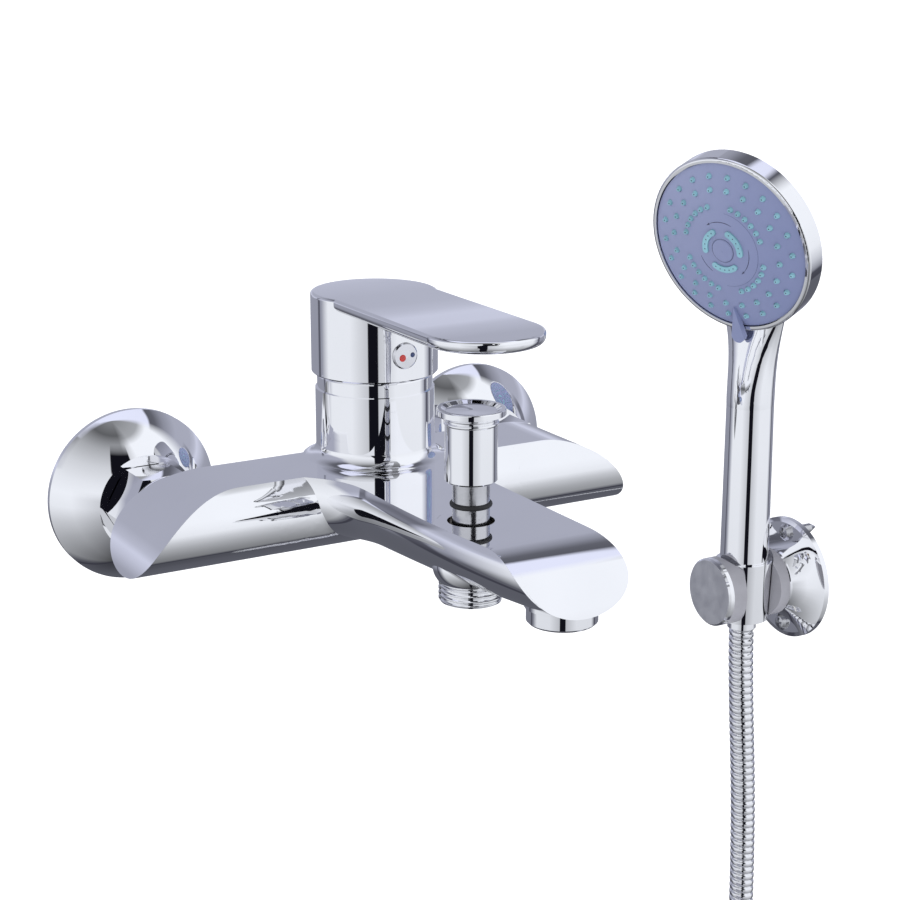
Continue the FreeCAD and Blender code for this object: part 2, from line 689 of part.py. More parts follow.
def cartridge():
    floor, shoulder, top = s.chamber_floor, s.cartridge_shoulder, s.cartridge_top
    deck = floor + s.cartridge_base
    cavity = s.cartridge_r - s.cartridge_wall
    can = turned("cartridge_can", (
        (0, floor),
        (s.cartridge_r, floor),
        (s.cartridge_r, shoulder),
        (s.cartridge_neck_r, shoulder),
        (s.cartridge_neck_r, top),
        (cavity, top),
        (cavity, deck),
        (0, deck),
    ), LEVER_AXIS)
    port_x = s.disc_r / 2
    spots = ((port_x, 0), (-port_x, 0), (0, -port_x * 1.3))
    ports, pockets, seals, disc_ports = [], [], [], []
    fixed_top = deck + s.disc_thick
    for i, (x, y) in enumerate(spots):
        ports.append(cylinder("port_%d" % i, s.port_r, s.cartridge_base + 2, at_height(floor - 1, x, y)))
        pockets.append(cylinder("seal_pocket_%d" % i, s.port_r + s.seal_thick, s.seal_thick,
                                at_height(floor, x, y)))
        disc_ports.append(cylinder("disc_port_%d" % i, s.port_r, s.disc_thick + 2, at_height(deck - 1, x, y)))
        seals.append(turned("base_seal_%d" % i, (
            (s.port_r, 0),
            (s.port_r + s.seal_thick - s.run_gap, 0),
            (s.port_r + s.seal_thick - s.run_gap, s.seal_thick),
            (s.port_r, s.seal_thick),
        ), at_height(floor, x, y)))
    node(cut("cartridge_body", can, *(ports + pockets)), "cartridge_body")
    node(group("cartridge_seals", *seals), "cartridge_seals")
    fixed = cylinder("fixed_disc_blank", s.disc_r, s.disc_thick, at_height(deck))
    node(cut("fixed_disc", fixed, *disc_ports), "fixed_disc")

    moving_z = fixed_top + s.run_gap
    moving = cylinder("moving_disc_blank", s.disc_r - 1.5, s.disc_thick, at_height(moving_z))
    mixing = block("mixing_pocket", port_x * 2.2, port_x * 1.5, s.disc_thick / 2 + 1,
                   at_height(moving_z - 1, -port_x * 1.1, -port_x * 0.8))
    node(cut("moving_disc", moving, mixing), "moving_disc")

    deck_z = moving_z + s.disc_thick
    carrier_r = cavity - s.seat_gap
    blank = cylinder("carrier_blank", carrier_r, top - deck_z, at_height(deck_z))
    slot_half = s.stem_half + s.seat_gap
    slot = block("carrier_slot", slot_half * 2, s.stem_swing * 2, top,
                 at_height(deck_z + 2, -slot_half, -s.stem_swing))
    pin_reach = carrier_r - 1.5
    bore = cylinder("carrier_pin_bore", s.pin_r + s.run_gap, pin_reach * 2, at_height(s.pivot_z, -pin_reach), TO_RIGHT)
    node(cut("cartridge_carrier", blank, slot, bore), "cartridge_carrier")
    node(cylinder("stem_pin", s.pin_r, pin_reach * 2, at_height(s.pivot_z, -pin_reach), TO_RIGHT), "stem_pin")

    square = block("stem_square", s.stem_half * 2, s.stem_half * 2, s.stem_top - s.pivot_z,
                   at_height(s.pivot_z, -s.stem_half, -s.stem_half))
    hub = cylinder("stem_hub", s.stem_half, s.stem_half * 2, at_height(s.pivot_z, -s.stem_half), TO_RIGHT)
    arm = cylinder("stem_arm", s.stem_arm_r, s.pivot_z - s.stem_foot, at_height(s.stem_foot))
    eye = cylinder("stem_eye", s.pin_r + s.run_gap, s.stem_half * 2 + 2, at_height(s.pivot_z, -s.stem_half - 1),
                   TO_RIGHT)
    node(cut("lever_stem", fuse("stem_solid", square, hub, arm), eye), "lever_stem")

    nut_top = s.body_top - 2.4
    node(turned("cartridge_nut", (
        (s.cartridge_neck_r + s.run_gap, shoulder),
        (s.nut_thread_r, shoulder),
        (s.nut_thread_r, nut_top),
        (s.cartridge_neck_r + s.run_gap, nut_top),
    ), LEVER_AXIS), "cartridge_nut")

    spigot = s.nut_thread_r - s.dome_wall - 0.6
    ring, hole, dome, inner = s.ring_r, s.dome_hole_r, s.dome_r, s.dome_r - s.dome_wall
    lining = ring - s.dome_wall - 0.4
    node(turned("dome_ring", (
        (spigot, nut_top),
        (s.nut_thread_r, nut_top),
        (s.nut_thread_r, s.body_top),
        (ring, s.body_top),
        (ring, on_sphere(dome, ring), dome, 1),
        (hole, on_sphere(dome, hole)),
        (hole, on_sphere(inner, hole), inner, -1),
        (lining, on_sphere(inner, lining)),
        (spigot, s.body_top + 1.2),
    ), LEVER_AXIS), "dome_ring")


cartridge()


def softened(body, name, base, radius, test):
    """A fillet on the edges of the body's last feature whose middle passes a test."""
    doc.recompute()
    names = []
    for i, edge in enumerate(base.Shape.Edges, 1):
        middle = edge.valueAt((edge.FirstParameter + edge.LastParameter) / 2)
        if test(middle):
            names.append("Edge%d" % i)
    fillet = body.newObject("PartDesign::Fillet", name)
    fillet.Base = (base, names)
    fillet.setExpression("Radius", dim(radius).formula)
    body.Tip = fillet
    return fillet


def lever():
    outer, half, tip = s.handle_r, s.lever_half, s.lever_tip
    plate_low = s.lever_top - s.lever_thick
    shoulder = -root(outer * outer - half * half)
    front = -(tip - half)
    plate = doc.addObject("PartDesign::Body", "lever_plate")
    flat = outline(plate, "lever_outline", "XY_Plane", (
        (half, shoulder, outer, 1),
        (0, outer, outer, 1),
        (-half, shoulder),
        (-half, front, half, 1),
        (0, -tip, half, 1),
        (half, front),
    ))
    pad = plate.newObject("PartDesign::Pad", "lever_pad")
    pad.Profile = flat
    pad.setExpression("Length", s.lever_thick.formula)
    low = softened(plate, "lever_lower_edge", pad, s.lever_edge_r, lambda m: abs(m.z) < 0.01)
    softened(plate, "lever_upper_edge", low, 1.2, lambda m: abs(m.z - s.lever_thick.number) < 0.01)
    place(plate, at_height(plate_low))

    round_r = s.lever_edge_r
    cup = turned("lever_cup", (
        (s.handle_bore_r, s.handle_bottom),
        (outer - 0.6, s.handle_bottom),
        (outer, s.handle_bottom + 0.6),
        (outer, s.lever_top - 2),
        (0, s.lever_top - 2),
        (0, s.socket_bottom),
        (s.socket_r, s.socket_bottom),
        (s.socket_r, s.handle_ceiling),
        (s.handle_bore_r - round_r, s.handle_ceiling, round_r, -1),
        (s.handle_bore_r, s.handle_ceiling - round_r),
    ), LEVER_AXIS)
    fit = s.stem_half + s.run_gap
    socket = block("lever_socket", fit * 2, fit * 2, s.stem_top - s.socket_bottom + s.run_gap + 1,
                   at_height(s.socket_bottom - 1, -fit, -fit))
    button_seat = outer - 0.6
    opening = cylinder("index_opening", s.index_hole_r + s.run_gap, outer - s.socket_r,
                       at_height(s.index_z, 0, -s.socket_r - 1), TO_USER)
    spot_face = cylinder("index_spot_face", s.index_r + s.run_gap, 3, at_height(s.index_z, 0, -button_seat), TO_USER)
    grub_bore = cylinder("grub_bore", s.grub_r + s.run_gap, s.socket_r, at_height(s.index_z, 0, -s.stem_half), TO_USER)
    shell = fuse("lever_shell", plate, cup)
    node(cut("handle", shell, socket, opening, spot_face, grub_bore), "handle")

    screw = cylinder("grub_blank", s.grub_r, s.socket_r - s.stem_half, at_height(s.index_z, 0, -s.stem_half), TO_USER)
    key = hexagon("grub_key", s.grub_r, 2, at_height(s.index_z, 0, 1.9 - s.socket_r), TO_USER)
    node(cut("grub_screw", screw, key), "grub_screw")
    plug = s.index_hole_r
    node(turned("index_button", (
        (0, -3),
        (plug - 1.2, -3),
        (plug, -2),
        (plug, 0),
        (s.index_r, 0),
        (s.index_r, 0.9),
        (s.index_r - 0.5, 1.3),
        (0, 1.5),
    ), at_height(s.index_z, 0, -button_seat), TO_USER), "index_button")


lever()


# Diverter and aerator

def diverter():
    spot = (-s.diverter_x, -s.diverter_off, 0)
    rod, groove = s.diverter_stem_r, s.diverter_stem_r - s.diverter_ring_wire
    ring_z, wire = s.diverter_ring_z, s.diverter_ring_wire
    foot = s.bush_bottom - 1.5
    node(turned("diverter_stem", (
        (0, foot),
        (rod - 0.5, foot),
        (rod, foot + 0.5),
        (rod, ring_z - wire),
        (groove, ring_z - wire),
        (groove, ring_z + wire),
        (rod, ring_z + wire),
        (rod, s.diverter_stem_top),
        (0, s.diverter_stem_top),
    ), spot), "diverter_stem")
    ring = doc.addObject("Part::Torus", "diverter_o_ring")
    ring.setExpression("Radius1", (groove + wire).formula)
    ring.setExpression("Radius2", wire.formula)
    node(place(ring, (spot[0], spot[1], ring_z)), "diverter_o_ring")
    node(turned("diverter_bush", (
        (rod + s.run_gap, s.bush_bottom),
        (s.diverter_hole_r - s.run_gap, s.bush_bottom),
        (s.diverter_hole_r - s.run_gap, s.bush_top),
        (rod + s.run_gap, s.bush_top),
    ), spot), "diverter_bush")

    skirt, cap, base = s.knob_r, s.knob_cap_r, s.knob_bottom
    neck_z = s.knob_cap_z - 4.2
    bead = skirt + 1.1
    crown = s.knob_cap_z + 1.5
    dish = cap - 1.6
    node(turned("diverter_knob", (
        (rod + s.run_gap, base),
        (skirt - 0.6, base),
        (skirt, base + 0.6),
        (skirt, neck_z, 0.75, 1),
        (skirt, neck_z + 1.4),
        (skirt, neck_z + 1.8, 3, -1),
        (cap, s.knob_cap_z - 0.6),
        (cap, crown - 0.5, 0.5, 1),
        (cap - 0.5, crown),
        (dish, crown),
        (dish - 1.5, crown - 0.9),
        (0, crown - 1.2),
        (0, s.diverter_stem_top),
        (rod + s.run_gap, s.diverter_stem_top),
    ), spot), "diverter_knob")

    land = s.diverter_hole_r - 0.5
    seal_wire = 0.9
    low = foot - 4.4
    groove_r = land - seal_wire * 1.6
    node(turned("diverter_piston", (
        (0, low),
        (land - 0.6, low),
        (land, low + 0.6),
        (land, low + 1.2),
        (groove_r, low + 1.2),
        (groove_r, low + 3),
        (land, low + 3),
        (land, foot),
        (0, foot),
    ), spot), "diverter_piston")
    seal = doc.addObject("Part::Torus", "piston_seal")
    seal.setExpression("Radius1", (groove_r + seal_wire).formula)
    seal.setExpression("Radius2", dim(seal_wire).formula)
    node(place(seal, (spot[0], spot[1], low + 2.1)), "piston_seal")


diverter()


def aerator():
    spot = (0, -s.aerator_off, 0)
    bottom, seat, top, bore = s.aerator_bottom, s.aerator_seat, s.aerator_top, s.aerator_bore_r
    node(turned("aerator_housing", (
        (bore, bottom + 0.8),
        (bore + 0.8, bottom),
        (s.aerator_r - 0.8, bottom),
        (s.aerator_r, bottom + 0.8),
        (s.aerator_r, seat),
        (s.aerator_thread_r, seat),
        (s.aerator_thread_r, top),
        (bore - 1.4, top),
        (bore - 1.4, top - 1.2),
        (bore, top - 1.2),
    ), spot), "aerator_housing")
    deck = bottom + 1.6
    insert_r = bore - s.run_gap
    blank = cylinder("aerator_blank", insert_r, top - 1.2 - deck, (spot[0], spot[1], deck))
    jets = []
    for ring, count in ((0.36, 6), (0.72, 12)):
        for i in range(count):
            angle = 2 * math.pi * i / count
            x, y = insert_r * ring * math.cos(angle), insert_r * ring * math.sin(angle)
            jets.append(cylinder("jet", insert_r / 9, top - deck + 2, (x, spot[1] + y, deck - 1)))
    node(cut("aerator_insert", blank, *jets), "aerator_insert")
    node(turned("aerator_washer", (
        (bore - 1.4, top),
        (s.aerator_thread_r - 0.2, top),
        (s.aerator_thread_r - 0.2, top + s.aerator_washer),
        (bore - 1.4, top + s.aerator_washer),
    ), spot), "aerator_washer")


aerator()
doc.recompute()


# Hand shower

FACE_TURN = Rotation(s.handset_twist.number, -90 - s.face_tilt.number, 0)
FACE = (
    s.handset_x - s.face_lead * cosine(s.handset_twist),
    -s.handset_off - s.face_lead * sine(s.handset_twist),
    s.handset_bottom + s.face_height,
)


def on_face(shape):
    """Move a shape from the head's own frame, where +Z leaves the face and +X is up, to its place."""
    shape.Placement = Placement(Vector(*[f.number for f in FACE]), FACE_TURN)
    return shape


def spun(edges):
    return Part.Face(Part.Wire(edges)).revolve(Vector(), Vector(0, 0, 1), 360)


def path_of(spots):
    """A closed run of edges through (radius, height, middle) spots; middle bends the edge that leaves."""
    edges = []
    for here, after in zip(spots, spots[1:] + spots[:1]):
        start, finish = Vector(here[0], 0, here[1]), Vector(after[0], 0, after[1])
        if len(here) == 2:
            edges.append(Part.LineSegment(start, finish).toShape())
        else:
            edges.append(Part.Arc(start, Vector(here[2][0], 0, here[2][1]), finish).toShape())
    return edges


def dome_height(radius, sink):
    """Height of the domed face, or of a surface sunk below it, at a distance from its centre."""
    dome_r, face_r = s.face_dome_r.number, s.face_r.number
    centre = -s.face_recess.number - math.sqrt(dome_r ** 2 - face_r ** 2)
    return centre + math.sqrt((dome_r - sink) ** 2 - radius ** 2)


def dome_disc(radius, top, bottom):
    """A round plate between two domed surfaces that are sunk by top and by bottom."""
    half = radius / 2
    return spun(path_of([
        (0, dome_height(0, top), (half, dome_height(half, top))),
        (radius, dome_height(radius, top)),
        (radius, dome_height(radius, bottom), (half, dome_height(half, bottom))),
        (0, dome_height(0, bottom)),
    ]))


def handset_shell():
    # The neck's sections: share of the head's height, then set-back, half depth and half width in shaft radii
    shaft_r, bottom, rise = s.shaft_r.number, s.handset_bottom.number, s.face_height.number
    slim = 0.963
    sections = (
        (0.493, 0, slim, slim),
        (0.585, 0.03, 0.92, 0.99),
        (0.676, 0.08, 0.76, 1.12),
        (0.768, 0.02, 0.54, 1.42),
        (0.859, -0.38, 0.32, 1.78),
    )
    rings = []
    for share, back, deep, wide in sections:
        centre = Vector(shaft_r * back, 0, rise * share)
        rings.append(ellipse(centre, Vector(0, shaft_r * wide + 0.005, 0), Vector(shaft_r * deep, 0, 0)))
    neck = Part.makeLoft(rings, True, False)
    grip_foot = ellipse(Vector(), Vector(0, shaft_r + 0.005, 0), Vector(shaft_r, 0, 0))
    shaft = Part.makeLoft([grip_foot, rings[0]], True, True).fuse(neck)
    thread_len, thread_r = s.hose_thread_len.number, s.hose_thread_r.number
    shaft = shaft.fuse(Part.makeCylinder(thread_r, thread_len + 5, Vector(0, 0, -thread_len)))
    foot = Vector(s.handset_x.number, -s.handset_off.number, bottom)
    shaft.Placement = Placement(foot, Rotation(s.handset_twist.number, 0, 0))

    head_r, band, back = s.head_r.number, s.head_band.number, s.head_back.number
    dome_r = (head_r ** 2 + (back - band) ** 2) / (2 * (back - band))
    half = head_r / 2
    head = spun(path_of([
        (0, 0),
        (head_r - 1.2, 0, (head_r - 0.35, -0.35)),
        (head_r, -1.2),
        (head_r, -band, (half, -back + dome_r - math.sqrt(dome_r ** 2 - half ** 2))),
        (0, -back),
    ]))
    rim_in, seat = s.face_r.number + s.seat_gap.number, -dome_height(s.face_r.number, s.face_thick.number)
    cavity_r, cavity, chamber_r = s.head_cavity_r.number, s.head_cavity.number, s.chamber_r.number
    hollow = spun(path_of([
        (0, 1),
        (rim_in, 1),
        (rim_in, -seat - s.seat_gap.number),
        (cavity_r, -seat - s.seat_gap.number),
        (cavity_r, -cavity),
        (chamber_r, -cavity),
        (chamber_r, -s.chamber_depth.number),
        (0, -s.chamber_depth.number),
    ]))
    shell = shaft.fuse(on_face(head))

    # The water rises up the shaft, behind the spray plate's seat and into the chamber
    bore_r, water_r = s.shaft_bore_r.number, s.water_bore_r.number
    low = Vector(0, 0, -thread_len - 1)
    bore_top, bend, mouth = rise * 0.592, rise * 0.761, rise * 0.88
    turns = (low, Vector(0, 0, bore_top), Vector(shaft_r * 0.05, 0, bend), Vector(shaft_r * -0.35, 0, mouth))
    ways = [Part.makeCylinder(bore_r, bore_top - low.z, low)]
    for start, finish in zip(turns[1:], turns[2:]):
        ways.append(Part.makeCylinder(water_r, (finish - start).Length, start, finish - start))
        ways.append(Part.makeSphere(water_r, start))
    bores = Part.makeCompound(ways)
    bores.Placement = shaft.Placement
    return shell.cut([on_face(hollow), bores])


def nozzle_spots():
    """Face positions of the nozzles: two full rings, and four groups of six inside them."""
    face_r = s.face_r.number
    spots = []
    for ring, count in ((0.86, 22), (0.71, 20)):
        for i in range(count):
            spots.append((ring * face_r, 360 * (i + 0.5) / count))
    for quarter in range(4):
        for i in range(6):
            spots.append((0.525 * face_r, 45 + 90 * quarter + 11 * (i - 2.5)))
    return [(r * math.cos(math.radians(a)), r * math.sin(math.radians(a))) for r, a in spots]


def pad_blank(spare):
    """The three curved pads as upright prisms, grown by spare on every side."""
    ring, half = s.pad_ring_r.number, s.pad_width.number / 2 + spare
    blanks = []
    for turn in (60, 180, 300):
        sweep = math.radians(34)
        corners = []
        for radius, angle in ((ring - half, -sweep), (ring + half, -sweep), (ring + half, sweep), (ring - half, sweep)):
            corners.append(Vector(radius * math.cos(angle), radius * math.sin(angle), 0))
        tip = ring + half
        cap = [Vector(ring * math.cos(a), ring * math.sin(a), 0) for a in (-sweep - half / ring, sweep + half / ring)]
        edges = [
            Part.Arc(corners[1], Vector(tip, 0, 0), corners[2]).toShape(),
            Part.Arc(corners[2], cap[1], corners[3]).toShape(),
            Part.Arc(corners[3], Vector(ring - half, 0, 0), corners[0]).toShape(),
            Part.Arc(corners[0], cap[0], corners[1]).toShape(),
        ]
        blank = Part.Face(Part.Wire(edges)).extrude(Vector(0, 0, 20))
        blank.translate(Vector(0, 0, -5))
        blank.rotate(Vector(), Vector(0, 0, 1), turn)
        blanks.append(blank)
    return blanks


def spray_face():
    face_r, thick = s.face_r.number, s.face_thick.number
    disc = dome_disc(face_r, 0, thick)
    half, reach, tab_root = s.tab_half.number, s.tab_reach.number, s.tab_root.number
    wide = -(reach - half)
    tab = Part.Face(Part.Wire([
        Part.LineSegment(Vector(-tab_root, 0, 0), Vector(wide, half, 0)).toShape(),
        Part.Arc(Vector(wide, half, 0), Vector(-reach, 0, 0), Vector(wide, -half, 0)).toShape(),
        Part.LineSegment(Vector(wide, -half, 0), Vector(-tab_root, 0, 0)).toShape(),
    ])).extrude(Vector(0, 0, s.tab_thick.number))
    tab.translate(Vector(0, 0, s.seat_gap.number))
    tools = [Part.makeCylinder(s.nozzle_foot_r.number + s.run_gap.number, 20, Vector(x, y, -8))
             for x, y in nozzle_spots()]
    tools += pad_blank(s.run_gap.number)
    cap_seat = dome_height(0, s.cap_thick_face.number)
    tools.append(Part.makeCylinder(s.cap_r.number + s.run_gap.number, 5, Vector(0, 0, cap_seat)))
    return disc.fuse(tab).cut(tools)


def nozzle_mat():
    thick = s.face_thick.number
    mat = dome_disc(s.mat_r.number, thick, thick + s.mat_thick.number)
    nubs = []
    for x, y in nozzle_spots():
        radius = math.hypot(x, y)
        low = dome_height(radius, thick + s.mat_thick.number / 2)
        high = dome_height(radius, 0)
        foot_r, tip_r, rise = s.nozzle_foot_r.number, s.nozzle_tip_r.number, s.nozzle_rise.number
        nubs.append(Part.makeCylinder(foot_r, high - low, Vector(x, y, low)))
        nubs.append(Part.makeCone(foot_r, tip_r, rise, Vector(x, y, high)))
    return mat.fuse(nubs)


def massage_pads():
    shell = dome_disc(s.mat_r.number / 2, -s.pad_rise.number, s.face_thick.number)
    pads = [blank.common(shell) for blank in pad_blank(0)]
    return Part.makeCompound(pads)


def hand_shower():
    node(feature("handset_shell", handset_shell()), "handset_shell")
    node(feature("spray_face", on_face(spray_face())), "spray_face")
    node(feature("nozzle_mat", on_face(nozzle_mat())), "nozzle_mat")
    node(feature("massage_pads", on_face(massage_pads())), "massage_pads")
    centre = -s.face_recess - root(s.face_dome_r * s.face_dome_r - s.face_r * s.face_r)
    cap_low = centre + s.face_dome_r - s.cap_thick_face
    cap_high = cap_low + s.cap_thick_face
    node(turned("face_cap", (
        (0, cap_low),
        (s.cap_r, cap_low),
        (s.cap_r, cap_high),
        (s.cap_r - 0.4, cap_high + 0.4),
        (0, cap_high + 0.7),
    ), FACE, FACE_TURN), "face_cap")

    deck, plate_top = -s.head_cavity, s.spray_plate_thick - s.head_cavity
    plate = turned("spray_plate_blank", (
        (0, deck),
        (s.head_cavity_r - s.run_gap, deck),
        (s.head_cavity_r - s.run_gap, plate_top),
        (3.4, plate_top),
        (2.6, plate_top + 1),
        (2.6, cap_low - 2.9),
        (0, cap_low - 2.9),
    ), FACE, FACE_TURN)
    drills = []
    for ring, count in ((0.3, 6), (0.55, 10)):
        for i in range(count):
            angle = 2 * math.pi * i / count
            x = s.head_cavity_r.number * ring * math.cos(angle)
            y = s.head_cavity_r.number * ring * math.sin(angle)
            drills.append(Part.makeCylinder(1.5, 8, Vector(x, y, -s.head_cavity.number - 3)))
    jets = feature("spray_plate_jets", on_face(Part.makeCompound(drills)))
    node(cut("spray_plate", plate, jets), "spray_plate")
    seal_wire = 0.9
    lip = s.head_cavity_r - 3
    node(turned("selector_seal", (
        (lip - seal_wire, plate_top),
        (lip + seal_wire, plate_top),
        (lip + seal_wire * 0.5, plate_top + seal_wire),
        (lip - seal_wire * 0.5, plate_top + seal_wire),
    ), FACE, FACE_TURN), "selector_seal")


hand_shower()


# Hose with its two ends

def hose_ends():
    x, y, bottom = s.handset_x, -s.handset_off, s.handset_bottom
    thread_r = s.hose_thread_r + s.run_gap
    washer_top = bottom - s.hose_thread_len
    washer_low = washer_top - 2
    collar_low = washer_low - 2.5
    nut_low = bottom - s.cone_len
    neck_r = s.ferrule_r + s.run_gap
    node(turned("hose_cone_nut", (
        (thread_r, bottom - s.run_gap),
        (s.cone_top_r, bottom - s.run_gap),
        (s.cone_bottom_r, nut_low),
        (neck_r, nut_low),
        (neck_r, collar_low - s.run_gap),
        (thread_r, collar_low - s.run_gap),
    ), (x, y, 0)), "hose_cone_nut")
    node(turned("hose_top_ferrule", (
        (s.hose_bore_r, s.hose_top),
        (s.ferrule_r, s.hose_top),
        (s.ferrule_r, collar_low),
        (s.ferrule_collar_r, collar_low),
        (s.ferrule_collar_r, washer_low),
        (s.hose_bore_r, washer_low),
    ), (x, y, 0)), "hose_top_ferrule")

    end_x = x + s.hose_lean
    end_y = y - s.coil_step * HOSE_TURNS
    end_z = s.coil_z - s.coil_tail
    lip_top, lip_low = -3, -5.5
    collar_top = lip_low - 0.1
    collar_end = collar_top - 2.5
    node(turned("hose_end_ferrule", (
        (s.hose_bore_r, 0),
        (s.ferrule_r, 0),
        (s.ferrule_r, collar_top),
        (s.ferrule_collar_r, collar_top),
        (s.ferrule_collar_r, collar_end),
        (s.hose_bore_r, collar_end),
    ), (end_x, end_y, end_z)), "hose_end_ferrule")
    nut_place = (end_x, end_y, end_z + lip_top - s.end_nut_len)
    blank = hexagon("end_nut_blank", s.end_nut_flats, s.end_nut_len, nut_place)
    rounding = turned("end_nut_rounding", (
        (0, 0),
        (s.end_nut_flats / 2 + 0.3, 0),
        (s.end_nut_flats / 2 + 2.4, 1.2),
        (s.end_nut_flats / 2 + 2.4, s.end_nut_len - 1.2),
        (s.end_nut_flats / 2 + 0.3, s.end_nut_len),
        (0, s.end_nut_len),
    ), nut_place)
    thread_deep = s.end_nut_len + collar_end - 2 - lip_top
    thread = cylinder("end_nut_thread", thread_r, thread_deep + 1, (end_x, end_y, nut_place[2] - 1))
    recess = cylinder("end_nut_recess", s.ferrule_collar_r + s.seat_gap, s.end_nut_len + lip_low - lip_top + 1,
                      (end_x, end_y, nut_place[2] - 1))
    hole = cylinder("end_nut_hole", s.ferrule_r + s.seat_gap, s.end_nut_len + 2, (end_x, end_y, nut_place[2] - 1))
    node(cut("hose_end_nut", common("end_nut_rounded", blank, rounding), thread, recess, hole), "hose_end_nut")

    washers = []
    for name, base in (("top_washer", (x, y, washer_low)), ("end_washer", (end_x, end_y, end_z + collar_end - 2))):
        washers.append(turned(name, (
            (s.hose_bore_r + 1.4, 0),
            (s.ferrule_collar_r, 0),
            (s.ferrule_collar_r, 2),
            (s.hose_bore_r + 1.4, 2),
        ), base))
    node(group("hose_washers", *washers), "hose_washers")


hose_ends()


def hose_route():
    """Corner points of the free stretch, from the handset down to where the coil begins."""
    x, y = s.handset_x.number, -s.handset_off.number
    top, low, lean = s.hose_top.number, s.coil_z.number, s.hose_lean.number
    return [
        Vector(x, y, top),
        Vector(x, y, top - 18),
        Vector(x + lean, y, top - (top - low) * 0.46),
        Vector(x + lean, y, low),
    ]


def rounded_route(points, label):
    """Straight runs joined by tangent arcs."""
    edges, at = [], points[0]
    for before, corner, after in zip(points, points[1:], points[2:]):
        to_corner, away = corner - before, after - corner
        angle = to_corner.getAngle(away)
        trim = 0.45 * min(to_corner.Length, away.Length)
        radius = trim / math.tan(angle / 2)
        print("%s bend radius %.1f mm, turn %.1f degrees" % (label, radius, math.degrees(angle)))
        first = corner - to_corner.normalize() * trim
        last = corner + away.normalize() * trim
        inward = ((first + last) / 2 - corner).normalize()
        middle = corner + inward * (radius / math.cos(angle / 2) - radius)
        edges.append(Part.LineSegment(at, first).toShape())
        edges.append(Part.Arc(first, middle, last).toShape())
        at = last
    edges.append(Part.LineSegment(at, points[-1]).toShape())
    return Part.Wire(edges)


def along(wire, distance):
    """Place and direction on a wire at a distance from its start."""
    for edge in wire.OrderedEdges:
        if distance <= edge.Length + 1e-6:
            spot = edge.getParameterByLength(min(distance, edge.Length))
            return edge.valueAt(spot), edge.tangentAt(spot)
        distance -= edge.Length
    raise ValueError("past the end of the route")


def ring_at(centre, direction, radius):
    """A circle square to the route, whose start stays on a steady X axis."""
    side = Vector(0, 1, 0).cross(direction).normalize()
    circle = Part.Circle(centre, direction, radius)
    circle.XAxis = side
    return Part.Wire(circle.toShape())


def ribbed_hose():
    wire = rounded_route(hose_route(), "hose")
    length = wire.Length
    straight = 2 * s.hose_r.number
    crest, dip, bore_r = s.hose_r.number, s.hose_root_r.number, s.hose_bore_r.number
    count = int((length - 2 * straight) / s.hose_pitch.number)
    pitch = (length - 2 * straight) / count
    rings = [(0, dip), (straight, dip)]
    for i in range(count):
        start = straight + i * pitch
        rings += [(start + pitch * 0.2, dip), (start + pitch * 0.4, crest),
                  (start + pitch * 0.8, crest), (start + pitch, dip)]
    rings.append((length, dip))
    print("hose free stretch %.1f mm with %d ribs" % (length, count))
    outer = Part.makeLoft([ring_at(*along(wire, d), r) for d, r in rings], True, True)
    stations = [0, straight] + [straight + i * pitch for i in range(1, count, 4)] + [length - straight / 2, length]
    inner = Part.makeLoft([ring_at(*along(wire, d), bore_r) for d in stations], True, True)
    return outer.cut(inner)


def biarc(p0, t0, p1, t1):
    """Two tangent arcs from p0 along t0 to p1 along t1."""
    chord, both = p1 - p0, t0 + t1
    lead = chord.dot(both)
    spread = 2 * (1 - t0.dot(t1))
    reach = (math.sqrt(lead * lead + spread * chord.dot(chord)) - lead) / spread
    joint = (p0 + t0 * reach + p1 - t1 * reach) / 2
    edges = []
    for start, direction, finish in ((p0, t0, joint), (joint, None, p1)):
        chord = finish - start
        if direction is None:
            direction = (joint - (p0 + t0 * reach)).normalize()
        bulge = direction - chord * (direction.dot(chord) / chord.dot(chord))
        rise = chord.Length / 2 * math.tan(direction.getAngle(chord) / 2)
        crown = (start + finish) / 2 + bulge.normalize() * rise
        edges.append(Part.Arc(start, crown, finish).toShape())
    return edges


def coil_frame():
    """Centre of the coil's first turn, and its radius and step."""
    radius = s.coil_mean_r.number
    centre = Vector(s.handset_x.number + s.hose_lean.number - radius, -s.handset_off.number, s.coil_z.number)
    return centre, radius, s.coil_step.number


def hose_coil():
    centre, radius, step = coil_frame()
    quarters = 4 * HOSE_TURNS
    spots, ways = [], []
    for i in range(quarters + 1):
        angle = math.pi / 2 * i
        spots.append(centre + Vector(radius * math.cos(angle), -step * i / 4, -radius * math.sin(angle)))
        way = Vector(-math.sin(angle), -step / (2 * math.pi * radius), -math.cos(angle))
        ways.append(Vector(0, 0, -1) if i in (0, quarters) else way.normalize())
    edges = []
    for i in range(quarters):
        edges += biarc(spots[i], ways[i], spots[i + 1], ways[i + 1])
    end = spots[-1] - Vector(0, 0, s.coil_tail.number)
    edges.append(Part.LineSegment(spots[-1], end).toShape())
    route = Part.Wire(edges)
    section = Part.Wire(Part.Circle(spots[0], Vector(0, 0, 1), s.hose_r.number).toShape())
    tube = route.makePipeShell([section], True, False)
    wire_r = s.hose_r.number
    samples = [along(route, route.Length * i / 600)[0] for i in range(601)]
    apart = 3 * step
    least = 1e9
    spacing = route.Length / 600
    for i, a in enumerate(samples):
        for j in range(i + int(apart / spacing) + 1, len(samples)):
            least = min(least, (a - samples[j]).Length)
    section_area = math.pi * wire_r ** 2
    print("hose coil %.1f mm, volume %.0f for %.0f" % (route.Length, tube.Volume, section_area * route.Length))
    print("least gap of the coil to itself %.2f mm" % (least - 2 * wire_r))
    return tube


